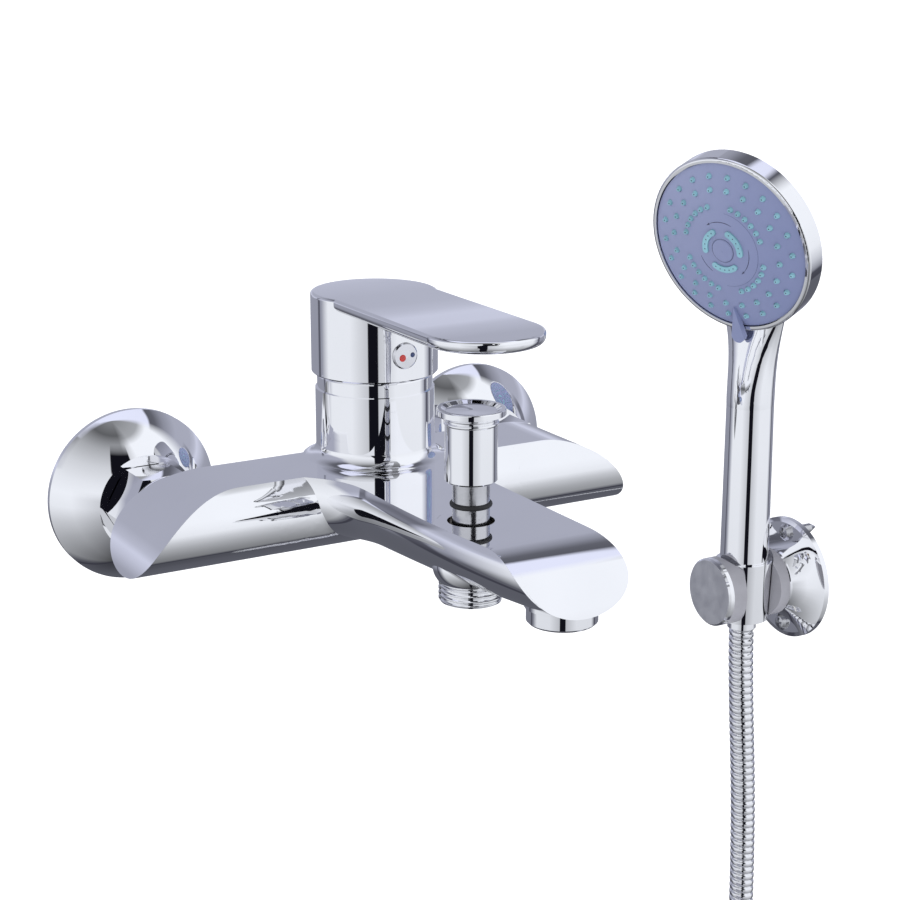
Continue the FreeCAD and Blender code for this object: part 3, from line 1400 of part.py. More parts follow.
def hose_tie():
    """A flat strap round the three turns, at the top of the coil."""
    centre, radius, step = coil_frame()
    reach = step * (HOSE_TURNS - 1) / 2
    middle = centre + Vector(-s.tie_width.number / 2, -step * (0.75 + (HOSE_TURNS - 1) / 2), radius)

    def stadium(grow):
        half = s.hose_r.number + s.seat_gap.number + grow
        edges = [
            Part.LineSegment(Vector(0, -reach, half), Vector(0, reach, half)).toShape(),
            Part.Arc(Vector(0, reach, half), Vector(0, reach + half, 0), Vector(0, reach, -half)).toShape(),
            Part.LineSegment(Vector(0, reach, -half), Vector(0, -reach, -half)).toShape(),
            Part.Arc(Vector(0, -reach, -half), Vector(0, -reach - half, 0), Vector(0, -reach, half)).toShape(),
        ]
        return Part.Face(Part.Wire(edges)).extrude(Vector(s.tie_width.number, 0, 0))

    band = stadium(s.tie_wall.number).cut(stadium(0))
    band.translate(middle)
    return band


node(feature("hose_tube", ribbed_hose()), "hose_tube")
node(feature("hose_coil", hose_coil()), "hose_coil")
node(feature("hose_tie", hose_tie()), "hose_tie")


# Wall bracket

def wall_bracket():
    x, y, z = s.handset_x, -s.handset_off, s.cradle_z
    free, foot, swing = s.cradle_free, s.cradle_root, s.pivot_len
    barrel_rod = cylinder("cradle_barrel", s.cradle_r, free + foot, (x - free, y, z), TO_RIGHT)
    stub = cylinder("cradle_stub", s.pivot_r, foot + swing - s.cone_top_r - 1, (x + s.cone_top_r + 1, y, z), TO_RIGHT)
    top, low = s.handset_bottom - s.run_gap, s.handset_bottom - s.cone_len
    taper = (s.cone_top_r - s.cone_bottom_r) / (top - low)
    over = 6
    socket = turned("cradle_socket", (
        (0, low - over),
        (s.cone_bottom_r + s.seat_gap - taper * over, low - over),
        (s.cone_top_r + s.seat_gap + taper * over, top + over),
        (0, top + over),
    ), (x, y, 0))
    half, flare, deep = s.cradle_slot / 2, s.cradle_flare / 2, s.cradle_r + 1
    slot = padded("cradle_slot", (
        (-half, 0),
        (-flare, -deep),
        (flare, -deep),
        (half, 0),
    ), s.cradle_r * 2 + 2, (x, y, z - s.cradle_r - 1))
    thread = cylinder("cradle_screw_hole", s.screw_r + s.run_gap, swing + 2, (x + foot - 1, y, z), TO_RIGHT)
    node(cut("cradle", fuse("cradle_solid", barrel_rod, stub), socket, slot, thread), "cradle")

    node(turned("cradle_cap", (
        (0, 0),
        (s.cradle_r, 0),
        (s.cradle_r, s.cap_thick - 0.8),
        (s.cradle_r - 0.8, s.cap_thick),
        (0, s.cap_thick),
    ), (x - free, y, z), TO_LEFT), "cradle_cap")

    gap = 0.1
    start = foot + gap
    depth = s.wall_reach - start
    step = swing - gap - 0.2
    horn = turned("bracket_horn", (
        (s.pivot_r + s.seat_gap, 0),
        (s.horn_r, 0),
        (s.horn_r, 1.5, s.horn_cove_r, -1),
        (s.plate_r, depth - s.plate_lip),
        (s.plate_r, depth),
        (s.pivot_head_r + s.seat_gap, depth),
        (s.pivot_head_r + s.seat_gap, step),
        (s.pivot_r + s.seat_gap, step),
    ), (x + start, y, z), TO_RIGHT)
    cuts, screws = [], []
    wall_x = x + s.wall_reach
    plate_x = wall_x - s.plate_thick
    for side in (-1, 1):
        at_z = z + s.screw_pitch / 2 * side
        cuts.append(cylinder("scallop", s.scallop_r, s.plate_r, (plate_x, y, z + s.scallop_off * side), TO_LEFT))
        cuts.append(cylinder("screw_hole", s.screw_neck_r + s.part_gap, s.plate_thick + 2, (plate_x - 1, y, at_z), TO_RIGHT))
        head = turned("screw_head", (
            (0, 0),
            (s.screw_head_r, 0),
            (s.screw_head_r, 0.8),
            (s.screw_head_r * 0.72, 2.0),
            (0, 2.5),
        ), (plate_x, y, at_z), TO_LEFT)
        shank = turned("screw_shank", (
            (0, -0.5),
            (s.screw_neck_r, -0.5),
            (s.screw_neck_r, s.plate_thick + 0.5),
            (s.screw_r, s.plate_thick + 0.5),
            (s.screw_r, s.screw_len - 3),
            (0.4, s.screw_len),
            (0, s.screw_len),
        ), (plate_x, y, at_z), TO_RIGHT)
        wing, blade = s.screw_head_r * 1.1, s.screw_head_r * 0.3
        upright = block("cross_upright", 2, blade, wing, (plate_x - 3.2, y - blade / 2, at_z - wing / 2))
        level = block("cross_level", 2, wing, blade, (plate_x - 3.2, y - wing / 2, at_z - blade / 2))
        screws.append(cut("wall_screw", fuse("wall_screw_solid", head, shank), upright, level))
    node(cut("bracket_body", horn, *cuts), "bracket_body")
    node(group("bracket_screws", *screws), "bracket_screws")
    node(turned("cradle_screw", (
        (0, 1.5 - swing),
        (s.screw_r, 1.5 - swing),
        (s.screw_r, 0),
        (s.pivot_head_r, 0),
        (s.pivot_head_r, 1.6),
        (s.screw_head_r, 2.8),
        (0, 2.8),
    ), (x + foot + swing, y, z), TO_RIGHT), "cradle_screw")


wall_bracket()
doc.recompute()


# Every object is sound, and every piece goes to its own file

for obj in doc.Objects:
    faults = [state for state in obj.State if state not in ("Up-to-date", "Touched")]
    if faults:
        raise RuntimeError("%s is %s" % (obj.Name, ", ".join(faults)))

os.makedirs("parts", exist_ok=True)
for piece in NODES:
    shape = piece.Shape
    if shape.isNull() or not shape.isValid() or not shape.Solids:
        raise RuntimeError("%s has no sound solid" % piece.Label)
    shape.exportStep("parts/%s.step" % piece.Label)
print("%d pieces" % len(NODES))
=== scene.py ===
import json
import math

import bmesh
import bpy
from mathutils import Matrix, Vector


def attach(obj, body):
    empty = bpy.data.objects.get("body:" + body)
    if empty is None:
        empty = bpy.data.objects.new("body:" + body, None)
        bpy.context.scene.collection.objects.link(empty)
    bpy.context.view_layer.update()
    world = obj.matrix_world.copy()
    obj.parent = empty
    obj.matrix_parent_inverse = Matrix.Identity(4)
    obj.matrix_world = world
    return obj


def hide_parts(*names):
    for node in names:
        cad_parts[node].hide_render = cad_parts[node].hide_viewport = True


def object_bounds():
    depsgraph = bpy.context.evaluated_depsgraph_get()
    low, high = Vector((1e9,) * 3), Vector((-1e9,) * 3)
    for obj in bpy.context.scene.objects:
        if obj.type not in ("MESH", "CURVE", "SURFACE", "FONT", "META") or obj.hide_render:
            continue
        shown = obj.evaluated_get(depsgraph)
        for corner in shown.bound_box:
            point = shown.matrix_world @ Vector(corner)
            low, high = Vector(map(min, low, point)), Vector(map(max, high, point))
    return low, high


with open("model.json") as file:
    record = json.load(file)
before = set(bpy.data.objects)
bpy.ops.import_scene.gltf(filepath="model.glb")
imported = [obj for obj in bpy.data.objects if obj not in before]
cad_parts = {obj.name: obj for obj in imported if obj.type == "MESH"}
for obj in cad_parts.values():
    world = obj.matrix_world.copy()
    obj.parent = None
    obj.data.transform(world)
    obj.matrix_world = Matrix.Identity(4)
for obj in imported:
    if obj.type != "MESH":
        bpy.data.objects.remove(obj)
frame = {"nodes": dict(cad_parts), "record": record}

CAD_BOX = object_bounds()
NODES = frame["nodes"]
MM = 0.001


# Camera

VIEW_RIGHT = Vector((0.8665, -0.4991, 0.0)).normalized()
VIEW_BACK = Vector((-0.4809, -0.8350, 0.2672)).normalized()
VIEW_UP = VIEW_BACK.cross(VIEW_RIGHT).normalized()
CAMERA_AT = Vector((-355.14, -732.61, 231.81))


def make_camera():
    data = bpy.data.cameras.new("camera")
    data.lens = 84
    data.sensor_width = 36
    data.sensor_fit = "HORIZONTAL"
    data.clip_start = 0.05
    data.clip_end = 60
    camera = bpy.data.objects.new("camera", data)
    bpy.context.scene.collection.objects.link(camera)
    turn = Matrix((VIEW_RIGHT, VIEW_UP, VIEW_BACK)).transposed()
    camera.matrix_world = Matrix.Translation(CAMERA_AT * MM) @ turn.to_4x4()
    bpy.context.scene.camera = camera


make_camera()


# Hose, from the handset's nut down to its coil and end nut

COIL_CENTRE = Vector((134, -38, -304))
COIL_R = 66
COIL_STEP = 11.9
COIL_TURNS = 3
TURN_POINTS = 16
HOSE_R = 5.5
HOSE_PITCH = 3.3
HOSE_RINGS = 3600
HOSE_SIDES = 28


def hose_points():
    points = [Vector(p) for p in ((194, -38, -92), (194, -38, -110), (200, -38, -190), (200, -38, -290))]
    reach = COIL_R / math.cos(math.pi / TURN_POINTS)
    for i in range(1, TURN_POINTS * COIL_TURNS):
        angle = 2 * math.pi * i / TURN_POINTS
        drop = COIL_STEP * angle / (2 * math.pi)
        points.append(COIL_CENTRE + Vector((reach * math.cos(angle), -drop, -reach * math.sin(angle))))
    points += [Vector(p) for p in ((200, -73.7, -318), (200, -73.7, -346))]
    return points


def curve_from(points, name):
    data = bpy.data.curves.new(name, "CURVE")
    data.dimensions = "3D"
    data.resolution_u = 24
    spline = data.splines.new("NURBS")
    spline.points.add(len(points) - 1)
    for spot, p in zip(spline.points, points):
        spot.co = (p.x * MM, p.y * MM, p.z * MM, 1)
    spline.order_u = 3
    spline.use_endpoint_u = True
    obj = bpy.data.objects.new(name, data)
    bpy.context.scene.collection.objects.link(obj)
    return obj


def line_of(curve):
    """The points that the curve itself gives along its own line."""
    mesh = bpy.data.meshes.new_from_object(curve)
    spots = [v.co.copy() for v in mesh.vertices]
    bpy.data.meshes.remove(mesh)
    return spots


def evenly(spots, count):
    lengths = [0.0]
    for a, b in zip(spots, spots[1:]):
        lengths.append(lengths[-1] + (b - a).length)
    total, out, k = lengths[-1], [], 0
    for i in range(count + 1):
        want = total * i / count
        while k < len(lengths) - 2 and lengths[k + 1] < want:
            k += 1
        share = (want - lengths[k]) / (lengths[k + 1] - lengths[k])
        out.append(spots[k].lerp(spots[k + 1], min(max(share, 0), 1)))
    return out, total


def ring_faces(rings, sides, flip=False):
    """Faces between closed rings of points, one ring after the other."""
    faces = []
    for i in range(rings - 1):
        for j in range(sides):
            k = (j + 1) % sides
            face = (i * sides + j, i * sides + k, (i + 1) * sides + k, (i + 1) * sides + j)
            faces.append((face[0], face[3], face[2], face[1]) if flip else face)
    return faces


def sweep(name, spots, sides, radius_at):
    """A skin round a line; radius_at gives the radius from the length along it and the angle round it."""
    verts = []
    side = Vector((0, 1, 0))
    run = 0.0
    for i, p in enumerate(spots):
        ahead = (spots[min(i + 1, len(spots) - 1)] - spots[max(i - 1, 0)]).normalized()
        side = (side - ahead * side.dot(ahead)).normalized()
        other = ahead.cross(side)
        if i:
            run += (p - spots[i - 1]).length
        for j in range(sides):
            angle = 2 * math.pi * j / sides
            r = radius_at(run, angle)
            verts.append(p + (side * math.cos(angle) + other * math.sin(angle)) * r)
    faces = ring_faces(len(spots), sides)
    for start in (0, (len(spots) - 1) * sides):
        ring = list(range(start, start + sides))
        faces.append(tuple(ring if start else reversed(ring)))
    return mesh_piece(name, verts, faces)


def mesh_piece(name, verts, faces, smooth=True):
    mesh = bpy.data.meshes.new(name)
    mesh.from_pydata([tuple(v) for v in verts], [], faces)
    mesh.validate()
    if smooth:
        mesh.shade_smooth()
    obj = bpy.data.objects.new(name, mesh)
    bpy.context.scene.collection.objects.link(obj)
    return obj


def rib(run, angle):
    """Wound metal strip: a flat-topped rib, then a groove, slanting slightly round the hose."""
    phase = (run / (HOSE_PITCH * MM) + angle / (2 * math.pi)) % 1.0
    across = abs(phase - 0.5) * 2
    crown = 1 - min(max((across - 0.50) / 0.38, 0), 1) ** 1.6
    return (HOSE_R - 0.85 + 0.85 * crown - 0.12 * across ** 2) * MM


hose_curve = curve_from(hose_points(), "hose_line")
hose_spots = line_of(hose_curve)
bpy.data.objects.remove(hose_curve)
hose_rings, hose_length = evenly(hose_spots, HOSE_RINGS)
hose = sweep("hose", hose_rings, HOSE_SIDES, rib)
print("hose length", hose_length)
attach(hose, "handset")
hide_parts("hose_tube", "hose_coil")


# Studio: a plain pale floor, and a white tent with grey walls behind the object

def link(tree, a, b):
    tree.links.new(a, b)


def math_node(tree, op, a, b=None, clamp=False):
    n = tree.nodes.new("ShaderNodeMath")
    n.operation = op
    n.use_clamp = clamp
    for socket, value in zip(n.inputs, (a, b)):
        if value is None:
            continue
        if isinstance(value, (int, float)):
            socket.default_value = value
        else:
            link(tree, value, socket)
    return n.outputs[0]


def ramp_node(tree, fac, stops):
    n = tree.nodes.new("ShaderNodeValToRGB")
    ramp = n.color_ramp
    while len(ramp.elements) < len(stops):
        ramp.elements.new(0.5)
    for element, (at, colour) in zip(ramp.elements, stops):
        element.position = at
        element.color = (*colour, 1)
    link(tree, fac, n.inputs[0])
    return n.outputs[0]


def map_range(tree, value, low, high, start=0.0, finish=1.0):
    n = tree.nodes.new("ShaderNodeMapRange")
    n.clamp = True
    link(tree, value, n.inputs[0])
    for i, v in enumerate((low, high, start, finish), 1):
        n.inputs[i].default_value = v
    return n.outputs[0]


def mix_colour(tree, fac, a, b):
    n = tree.nodes.new("ShaderNodeMix")
    n.data_type = "RGBA"
    for socket, value in ((n.inputs[0], fac), (n.inputs[6], a), (n.inputs[7], b)):
        if isinstance(value, tuple):
            socket.default_value = (*value, 1)
        elif isinstance(value, (int, float)):
            socket.default_value = value
        else:
            link(tree, value, socket)
    return n.outputs[2]


def dot_with(tree, vector, direction):
    n = tree.nodes.new("ShaderNodeVectorMath")
    n.operation = "DOT_PRODUCT"
    link(tree, vector, n.inputs[0])
    n.inputs[1].default_value = direction
    return n.outputs["Value"]


def make_world():
    world = bpy.data.worlds.new("studio")
    bpy.context.scene.world = world
    world.use_nodes = True
    tree = world.node_tree
    tree.nodes.clear()
    coords = tree.nodes.new("ShaderNodeTexCoord")
    way = coords.outputs["Generated"]
    front = Vector((VIEW_BACK.x, VIEW_BACK.y, 0)).normalized()
    side = Vector((VIEW_RIGHT.x, VIEW_RIGHT.y, 0)).normalized()
    towards = dot_with(tree, way, tuple(front))
    right = dot_with(tree, way, tuple(side))
    high = dot_with(tree, way, (0, 0, 1))
    # Angles in half turns: height -0.5 to 0.5, and turn -1 to 1 from the front light
    height = math_node(tree, "DIVIDE", math_node(tree, "ARCSINE", high), math.pi)
    turn = math_node(tree, "DIVIDE", math_node(tree, "ARCTAN2", right, towards), math.pi)
    up = math_node(tree, "ADD", height, 0.5)

    def greys(tint, *stops):
        return [((degrees + 90) / 180, tuple(v * c for c in tint)) for degrees, v in stops]

    def by_height(low, high, start, finish):
        return map_range(tree, height, low / 180, high / 180, start, finish)

    pale = (0.97, 1.0, 1.06)
    lilac = (0.95, 0.985, 1.20)
    far = ramp_node(tree, up, greys(
        lilac,
        (-90, 0.03), (-60, 0.10), (-24, 0.12), (-14, 0.31), (-4, 0.37), (2, 0.56), (6, 0.66), (9, 0.52),
        (14, 0.43), (30, 0.42), (42, 0.28), (50, 0.13), (55, 0.11), (57, 0.84), (90, 0.86),
    ))
    low_light = ((-90, 0.04), (-65, 0.24), (-45, 0.42), (-30, 0.60), (-15, 0.86), (0, 0.92))
    left_light = ((15, 0.84), (35, 0.67), (55, 0.42), (72, 0.12), (90, 0.25))
    clear_light = ((15, 0.96), (60, 0.96), (68, 0.40), (90, 0.25))
    left = ramp_node(tree, up, greys(pale, *low_light, *left_light))
    clear = ramp_node(tree, up, greys(pale, *low_light, *clear_light))
    near = mix_colour(tree, map_range(tree, turn, 0.12, 0.25), left, clear)
    # The light is weaker beside the gap between its two halves
    middle = math_node(tree, "ABSOLUTE", turn)
    weak = map_range(tree, middle, 0.05, 0.24, 0.34, 0.0)
    weak = math_node(tree, "MULTIPLY", weak, by_height(-5, 5, 1.0, 0.0))
    near = mix_colour(tree, weak, near, (0.02, 0.02, 0.03))
    # The bright side reaches about 100 degrees each way, less far to the left above the object
    shifted = math_node(tree, "SUBTRACT", turn, by_height(5, 22, 0.0, 0.19))
    bright = math_node(
        tree, "MULTIPLY", map_range(tree, shifted, -0.60, -0.50), map_range(tree, turn, 0.57, 0.655, 1.0, 0.0)
    )
    colour = mix_colour(tree, bright, far, near)
    # Narrow black gap at the front, wider and to the right above the object
    offset = math_node(tree, "ABSOLUTE", math_node(tree, "SUBTRACT", turn, by_height(-8, 6, -0.004, 0.085)))
    inside = math_node(tree, "SUBTRACT", by_height(-8, 6, 0.055, 0.09), offset)
    gap = map_range(tree, inside, 0.0, 0.008)
    gap = math_node(tree, "MULTIPLY", gap, by_height(50, 62, 1.0, 0.0))
    colour = mix_colour(tree, gap, colour, (0.006, 0.006, 0.010))
    # Thin dark frame at each end of the light
    for centre in (-0.645, 0.672):
        frame_line = math_node(tree, "ABSOLUTE", math_node(tree, "SUBTRACT", turn, centre))
        frame_line = map_range(tree, frame_line, 0.014, 0.026, 0.72, 0.0)
        frame_line = math_node(tree, "MULTIPLY", frame_line, by_height(12, 22, 1.0, 0.0))
        colour = mix_colour(tree, frame_line, colour, (0.03, 0.03, 0.045))

    studio = tree.nodes.new("ShaderNodeBackground")
    link(tree, colour, studio.inputs[0])
    studio.inputs[1].default_value = 1.0
    plain = tree.nodes.new("ShaderNodeBackground")
    plain.inputs[0].default_value = (1, 1, 1, 1)
    plain.inputs[1].default_value = 1.0
    path = tree.nodes.new("ShaderNodeLightPath")
    mix = tree.nodes.new("ShaderNodeMixShader")
    even = math_node(tree, "ADD", path.outputs["Is Camera Ray"], path.outputs["Is Diffuse Ray"], True)
    link(tree, even, mix.inputs[0])
    link(tree, studio.outputs[0], mix.inputs[1])
    link(tree, plain.outputs[0], mix.inputs[2])
    out = tree.nodes.new("ShaderNodeOutputWorld")
    link(tree, mix.outputs[0], out.inputs[0])


def new_material(name):
    material = bpy.data.materials.new(name)
    material.use_nodes = True
    tree = material.node_tree
    return material, tree, tree.nodes["Principled BSDF"]


def make_floor():
    low = CAD_BOX[0].z - 0.001
    size = 14
    corners = [(x * size, y * size, low) for x, y in ((-1, -1), (1, -1), (1, 1), (-1, 1))]
    floor = mesh_piece("floor", corners, [(0, 1, 2, 3)], False)
    material, tree, shader = new_material("floor")
    shader.inputs["Base Color"].default_value = (0.86, 0.86, 0.87, 1)
    shader.inputs["Roughness"].default_value = 0.8
    shader.inputs["Emission Color"].default_value = (1, 1, 1, 1)
    shader.inputs["Emission Strength"].default_value = 0.5
    floor.data.materials.append(material)
    floor.visible_glossy = False


make_world()
make_floor()
bpy.context.scene.view_settings.view_transform = "Standard"


# Materials

def noise(tree, coords, scale, detail=2.0, rough=0.5):
    n = tree.nodes.new("ShaderNodeTexNoise")
    n.inputs["Scale"].default_value = scale
    n.inputs["Detail"].default_value = detail
    n.inputs["Roughness"].default_value = rough
    link(tree, coords, n.inputs["Vector"])
    return n.outputs[0]


def bump(tree, height, strength, distance, normal=None):
    n = tree.nodes.new("ShaderNodeBump")
    n.inputs["Strength"].default_value = strength
    n.inputs["Distance"].default_value = distance
    link(tree, height, n.inputs["Height"])
    if normal is not None:
        link(tree, normal, n.inputs["Normal"])
    return n.outputs[0]


def metal(name, colour, low, high, wave=0.0, grain=0.0, grain_scale=900):
    """Plated or bare metal: uneven polish in the roughness, a slow wave and a fine grain in the surface."""
    material, tree, shader = new_material(name)
    coords = tree.nodes.new("ShaderNodeTexCoord").outputs["Object"]
    shader.inputs["Metallic"].default_value = 1.0
    shade = noise(tree, coords, 35, 3)
    tint = ramp_node(tree, shade, [(0.3, tuple(c * 0.97 for c in colour)), (0.7, colour)])
    link(tree, tint, shader.inputs["Base Color"])
    smear = noise(tree, coords, 120, 4, 0.6)
    link(tree, map_range(tree, smear, 0.35, 0.7, low, high), shader.inputs["Roughness"])
    normal = None
    if wave:
        normal = bump(tree, noise(tree, coords, 55, 1), wave, 0.001)
    if grain:
        normal = bump(tree, noise(tree, coords, grain_scale, 3), grain, 0.0002, normal)
    if normal is not None:
        link(tree, normal, shader.inputs["Normal"])
    return material


def moulded(name, colour, rough, grain=0.15, scale=700, coat=0.0, spread=0.08):
    """Moulded plastic or rubber: slightly uneven colour and a fine moulded grain."""
    material, tree, shader = new_material(name)
    coords = tree.nodes.new("ShaderNodeTexCoord").outputs["Object"]
    shade = noise(tree, coords, 60, 4)
    low = tuple(c * (1 - spread) for c in colour)
    high = tuple(min(1, c * (1 + spread)) for c in colour)
    link(tree, ramp_node(tree, shade, [(0.35, low), (0.65, high)]), shader.inputs["Base Color"])
    speck = noise(tree, coords, scale, 2)
    link(tree, map_range(tree, speck, 0.3, 0.7, rough - 0.05, rough + 0.05), shader.inputs["Roughness"])
    if coat:
        shader.inputs["Coat Weight"].default_value = coat
        shader.inputs["Coat Roughness"].default_value = 0.12
    link(tree, bump(tree, speck, grain, 0.0002), shader.inputs["Normal"])
    return material


LEVER_BACK, LEVER_TIP = -36.5, -159.5


def crowned(material):
    """The lever's top is flat; its shading normal is bent so that it reads as if it dips behind, rises
    towards the tip and rolls off at its end.
    """
    tree = material.node_tree
    coords = tree.nodes.new("ShaderNodeTexCoord").outputs["Object"]
    along = tree.nodes.new("ShaderNodeSeparateXYZ")
    link(tree, coords, along.inputs[0])
    run = map_range(tree, along.outputs[1], LEVER_BACK * MM, LEVER_TIP * MM)
    slopes = ((0, 0.60), (0.27, 0.47), (0.42, 0.49), (0.60, 0.70), (0.72, 0.70), (0.88, 0.46), (1, 0.22))
    slope = ramp_node(tree, run, [(at, (v, v, v)) for at, v in slopes])
    slope = math_node(tree, "DIVIDE", math_node(tree, "SUBTRACT", slope, 0.5), 4.0)
    facing = tree.nodes.new("ShaderNodeNewGeometry").outputs["Normal"]
    level = map_range(tree, dot_with(tree, facing, (0, 0, 1)), 0.985, 0.999)
    tilt = tree.nodes.new("ShaderNodeCombineXYZ")
    link(tree, math_node(tree, "MULTIPLY", slope, level), tilt.inputs[1])
    turned = tree.nodes.new("ShaderNodeVectorMath")
    turned.operation = "ADD"
    link(tree, facing, turned.inputs[0])
    link(tree, tilt.outputs[0], turned.inputs[1])
    unit = tree.nodes.new("ShaderNodeVectorMath")
    unit.operation = "NORMALIZE"
    link(tree, turned.outputs[0], unit.inputs[0])
    link(tree, unit.outputs[0], tree.nodes["Principled BSDF"].inputs["Normal"])
    return material


def satin_faced(material):
    """The cap's flat end is brushed, its rim is mirror bright."""
    tree = material.node_tree
    shader = tree.nodes["Principled BSDF"]
    facing = tree.nodes.new("ShaderNodeNewGeometry").outputs["Normal"]
    flat = map_range(tree, dot_with(tree, facing, (-1, 0, 0)), 0.95, 0.99)
    coords = tree.nodes.new("ShaderNodeTexCoord").outputs["Object"]
    brushed = map_range(tree, noise(tree, coords, 160, 3), 0.3, 0.7, 0.30, 0.42)
    rough = math_node(tree, "MAXIMUM", math_node(tree, "MULTIPLY", flat, brushed), 0.03)
    link(tree, rough, shader.inputs["Roughness"])
    return material


FACE_AT = Vector((174.694, -44.273, 80.7))
FACE_TURN = Matrix.Rotation(math.radians(18), 3, "Z") @ Matrix.Rotation(math.radians(-106.5), 3, "Y")
FACE_R = 36.6
FACE_DOME_R = 124.5
FACE_EDGE = -0.8


def face_painted_paler_left(material):
    """The satin face's colour is painted a little paler towards its left edge: painted light, with a random
    worn tone mixed in.
    """
    tree = material.node_tree
    shader = tree.nodes["Principled BSDF"]
    coords = tree.nodes.new("ShaderNodeTexCoord").outputs["Object"]
    left = FACE_TURN @ Vector((0.35, 0.94, 0))
    across = dot_with(tree, coords, tuple(left))
    middle = left.dot(FACE_AT) * MM
    # Painted light: the colour runs from darker at the right edge to paler at the left edge.
    share = map_range(tree, across, middle - 0.034, middle + 0.034)
    base = mix_colour(tree, share, (0.185, 0.220, 0.400), (0.300, 0.335, 0.530))
    worn = mix_colour(tree, noise(tree, coords, 90, 4), base, (0.255, 0.285, 0.475))
    blend = mix_colour(tree, 0.35, base, worn)
    link(tree, blend, shader.inputs["Base Color"])
    return material


CHROME = metal("chrome", (0.95, 0.95, 0.965), 0.012, 0.035, 0.010)
MATERIALS = {
    "chrome": CHROME,
    "brass": metal("brass", (0.80, 0.58, 0.30), 0.18, 0.32, 0.02, 0.2),
    "steel": metal("steel", (0.62, 0.62, 0.64), 0.16, 0.30, 0.02, 0.2),
    "chromed_plastic": metal("chromed_plastic", (0.95, 0.95, 0.965), 0.015, 0.04, 0.012),
    "chromed_hose": metal("chromed_hose", (0.88, 0.88, 0.90), 0.05, 0.12, 0.0, 0.05),
    "black_rubber": moulded("black_rubber", (0.018, 0.018, 0.02), 0.55, 0.3, 900),
    "ceramic": moulded("ceramic", (0.72, 0.70, 0.66), 0.3, 0.1, 1200),
    "white_plastic": moulded("white_plastic", (0.78, 0.78, 0.77), 0.35, 0.1, 900),
    "lilac_plastic": face_painted_paler_left(moulded("lilac_plastic", (0.22, 0.26, 0.44), 0.42, 0.08, 1400, 0.12, 0.05)),
    "teal_rubber": moulded("teal_rubber", (0.24, 0.48, 0.57), 0.42, 0.15, 1200, 0.1, 0.1),
    "grey_plastic": moulded("grey_plastic", (0.33, 0.33, 0.37), 0.36, 0.15, 900, 0.15),
    "index_grey": metal("index_grey", (0.80, 0.80, 0.83), 0.08, 0.18, 0.0, 0.1),
}
LEVER_CHROME = crowned(metal("lever_chrome", (0.95, 0.95, 0.965), 0.03, 0.06, 0.0))
CAP_CHROME = satin_faced(metal("cap_chrome", (0.95, 0.95, 0.965), 0.015, 0.04, 0.0))
# Brass painted nearly black: painted shade on the diverter's bush beneath its knob.
BRASS_PAINTED_SHADE = metal("brass_painted_shade", (0.10, 0.085, 0.06), 0.35, 0.55, 0.02, 0.2)
# Dark ink for the printed lines; the same colour is painted shade for the inside of the nozzle and pad holes.
INK_AND_HOLE_SHADE = moulded("ink_and_hole_shade", (0.055, 0.06, 0.12), 0.5, 0.1, 900)
FAINT_LINE = moulded("faint_line", (0.11, 0.13, 0.26), 0.5, 0.1, 900)
RED_MARK = moulded("red_mark", (0.62, 0.025, 0.02), 0.22, 0.05, 900, 0.6)
BLUE_MARK = moulded("blue_mark", (0.02, 0.045, 0.16), 0.22, 0.05, 900, 0.6)
OWN_FINISH = {
    "handle": LEVER_CHROME,
    "cradle_cap": CAP_CHROME,
    # painted shade: the bush beneath the diverter's knob
    "diverter_bush": BRASS_PAINTED_SHADE,
    "hose_top_ferrule": CHROME,
    "hose_end_ferrule": CHROME,
}
SLOT_OF = {part["node"]: part["material_slot"] for part in frame["record"]["subparts"]}


def paint(obj, material):
    if not obj.material_slots:
        obj.data.materials.append(material)
    for slot in obj.material_slots:
        slot.material = material


for name, obj in NODES.items():
    paint(obj, OWN_FINISH.get(name) or MATERIALS[SLOT_OF[name]])
paint(hose, MATERIALS["chromed_hose"])


# Marks on the spray face, and dark discs of painted shade for its holes

def dome_at(radius):
    return FACE_EDGE - math.sqrt(FACE_DOME_R ** 2 - FACE_R ** 2) + math.sqrt(FACE_DOME_R ** 2 - radius ** 2)


def on_face(x, y, z):
    return (FACE_TURN @ Vector((x, y, z)) + FACE_AT) * MM


def dress(obj, material, body):
    paint(obj, material)
    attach(obj, body)
    return obj


def face_line(name, radius, start, finish, width, material, hook=0.0):
    """A fine raised line on the domed face, from one angle to another, measured from the top to the left."""
    verts, faces = [], []
    steps = max(8, int(abs(finish - start) / 3))
    for i in range(steps + 1):
        angle = math.radians(start + (finish - start) * i / steps)
        taper = min(1, 0.35 + 3 * min(i, steps - i) / steps)
        for away, lift in ((-0.5, -0.05), (-0.2, 0.05), (0.2, 0.05), (0.5, -0.05)):
            r = radius + away * width * taper
            verts.append(on_face(r * math.cos(angle), r * math.sin(angle), dome_at(r) + lift))
    for i in range(steps):
        for j in range(3):
            k = i * 4 + j
            faces.append((k, k + 4, k + 5, k + 1))
    if hook:
        angle = math.radians(start)
        base = len(verts)
        for away, turn in ((-0.9, 0), (0.9, 0), (0.0, -8)):
            r, a = radius + away * hook, angle + math.radians(turn if finish > start else -turn)
            verts.append(on_face(r * math.cos(a), r * math.sin(a), dome_at(r) + 0.06))
        faces.append((base, base + 1, base + 2))
    return dress(mesh_piece(name, verts, faces), material, "spray_dial")


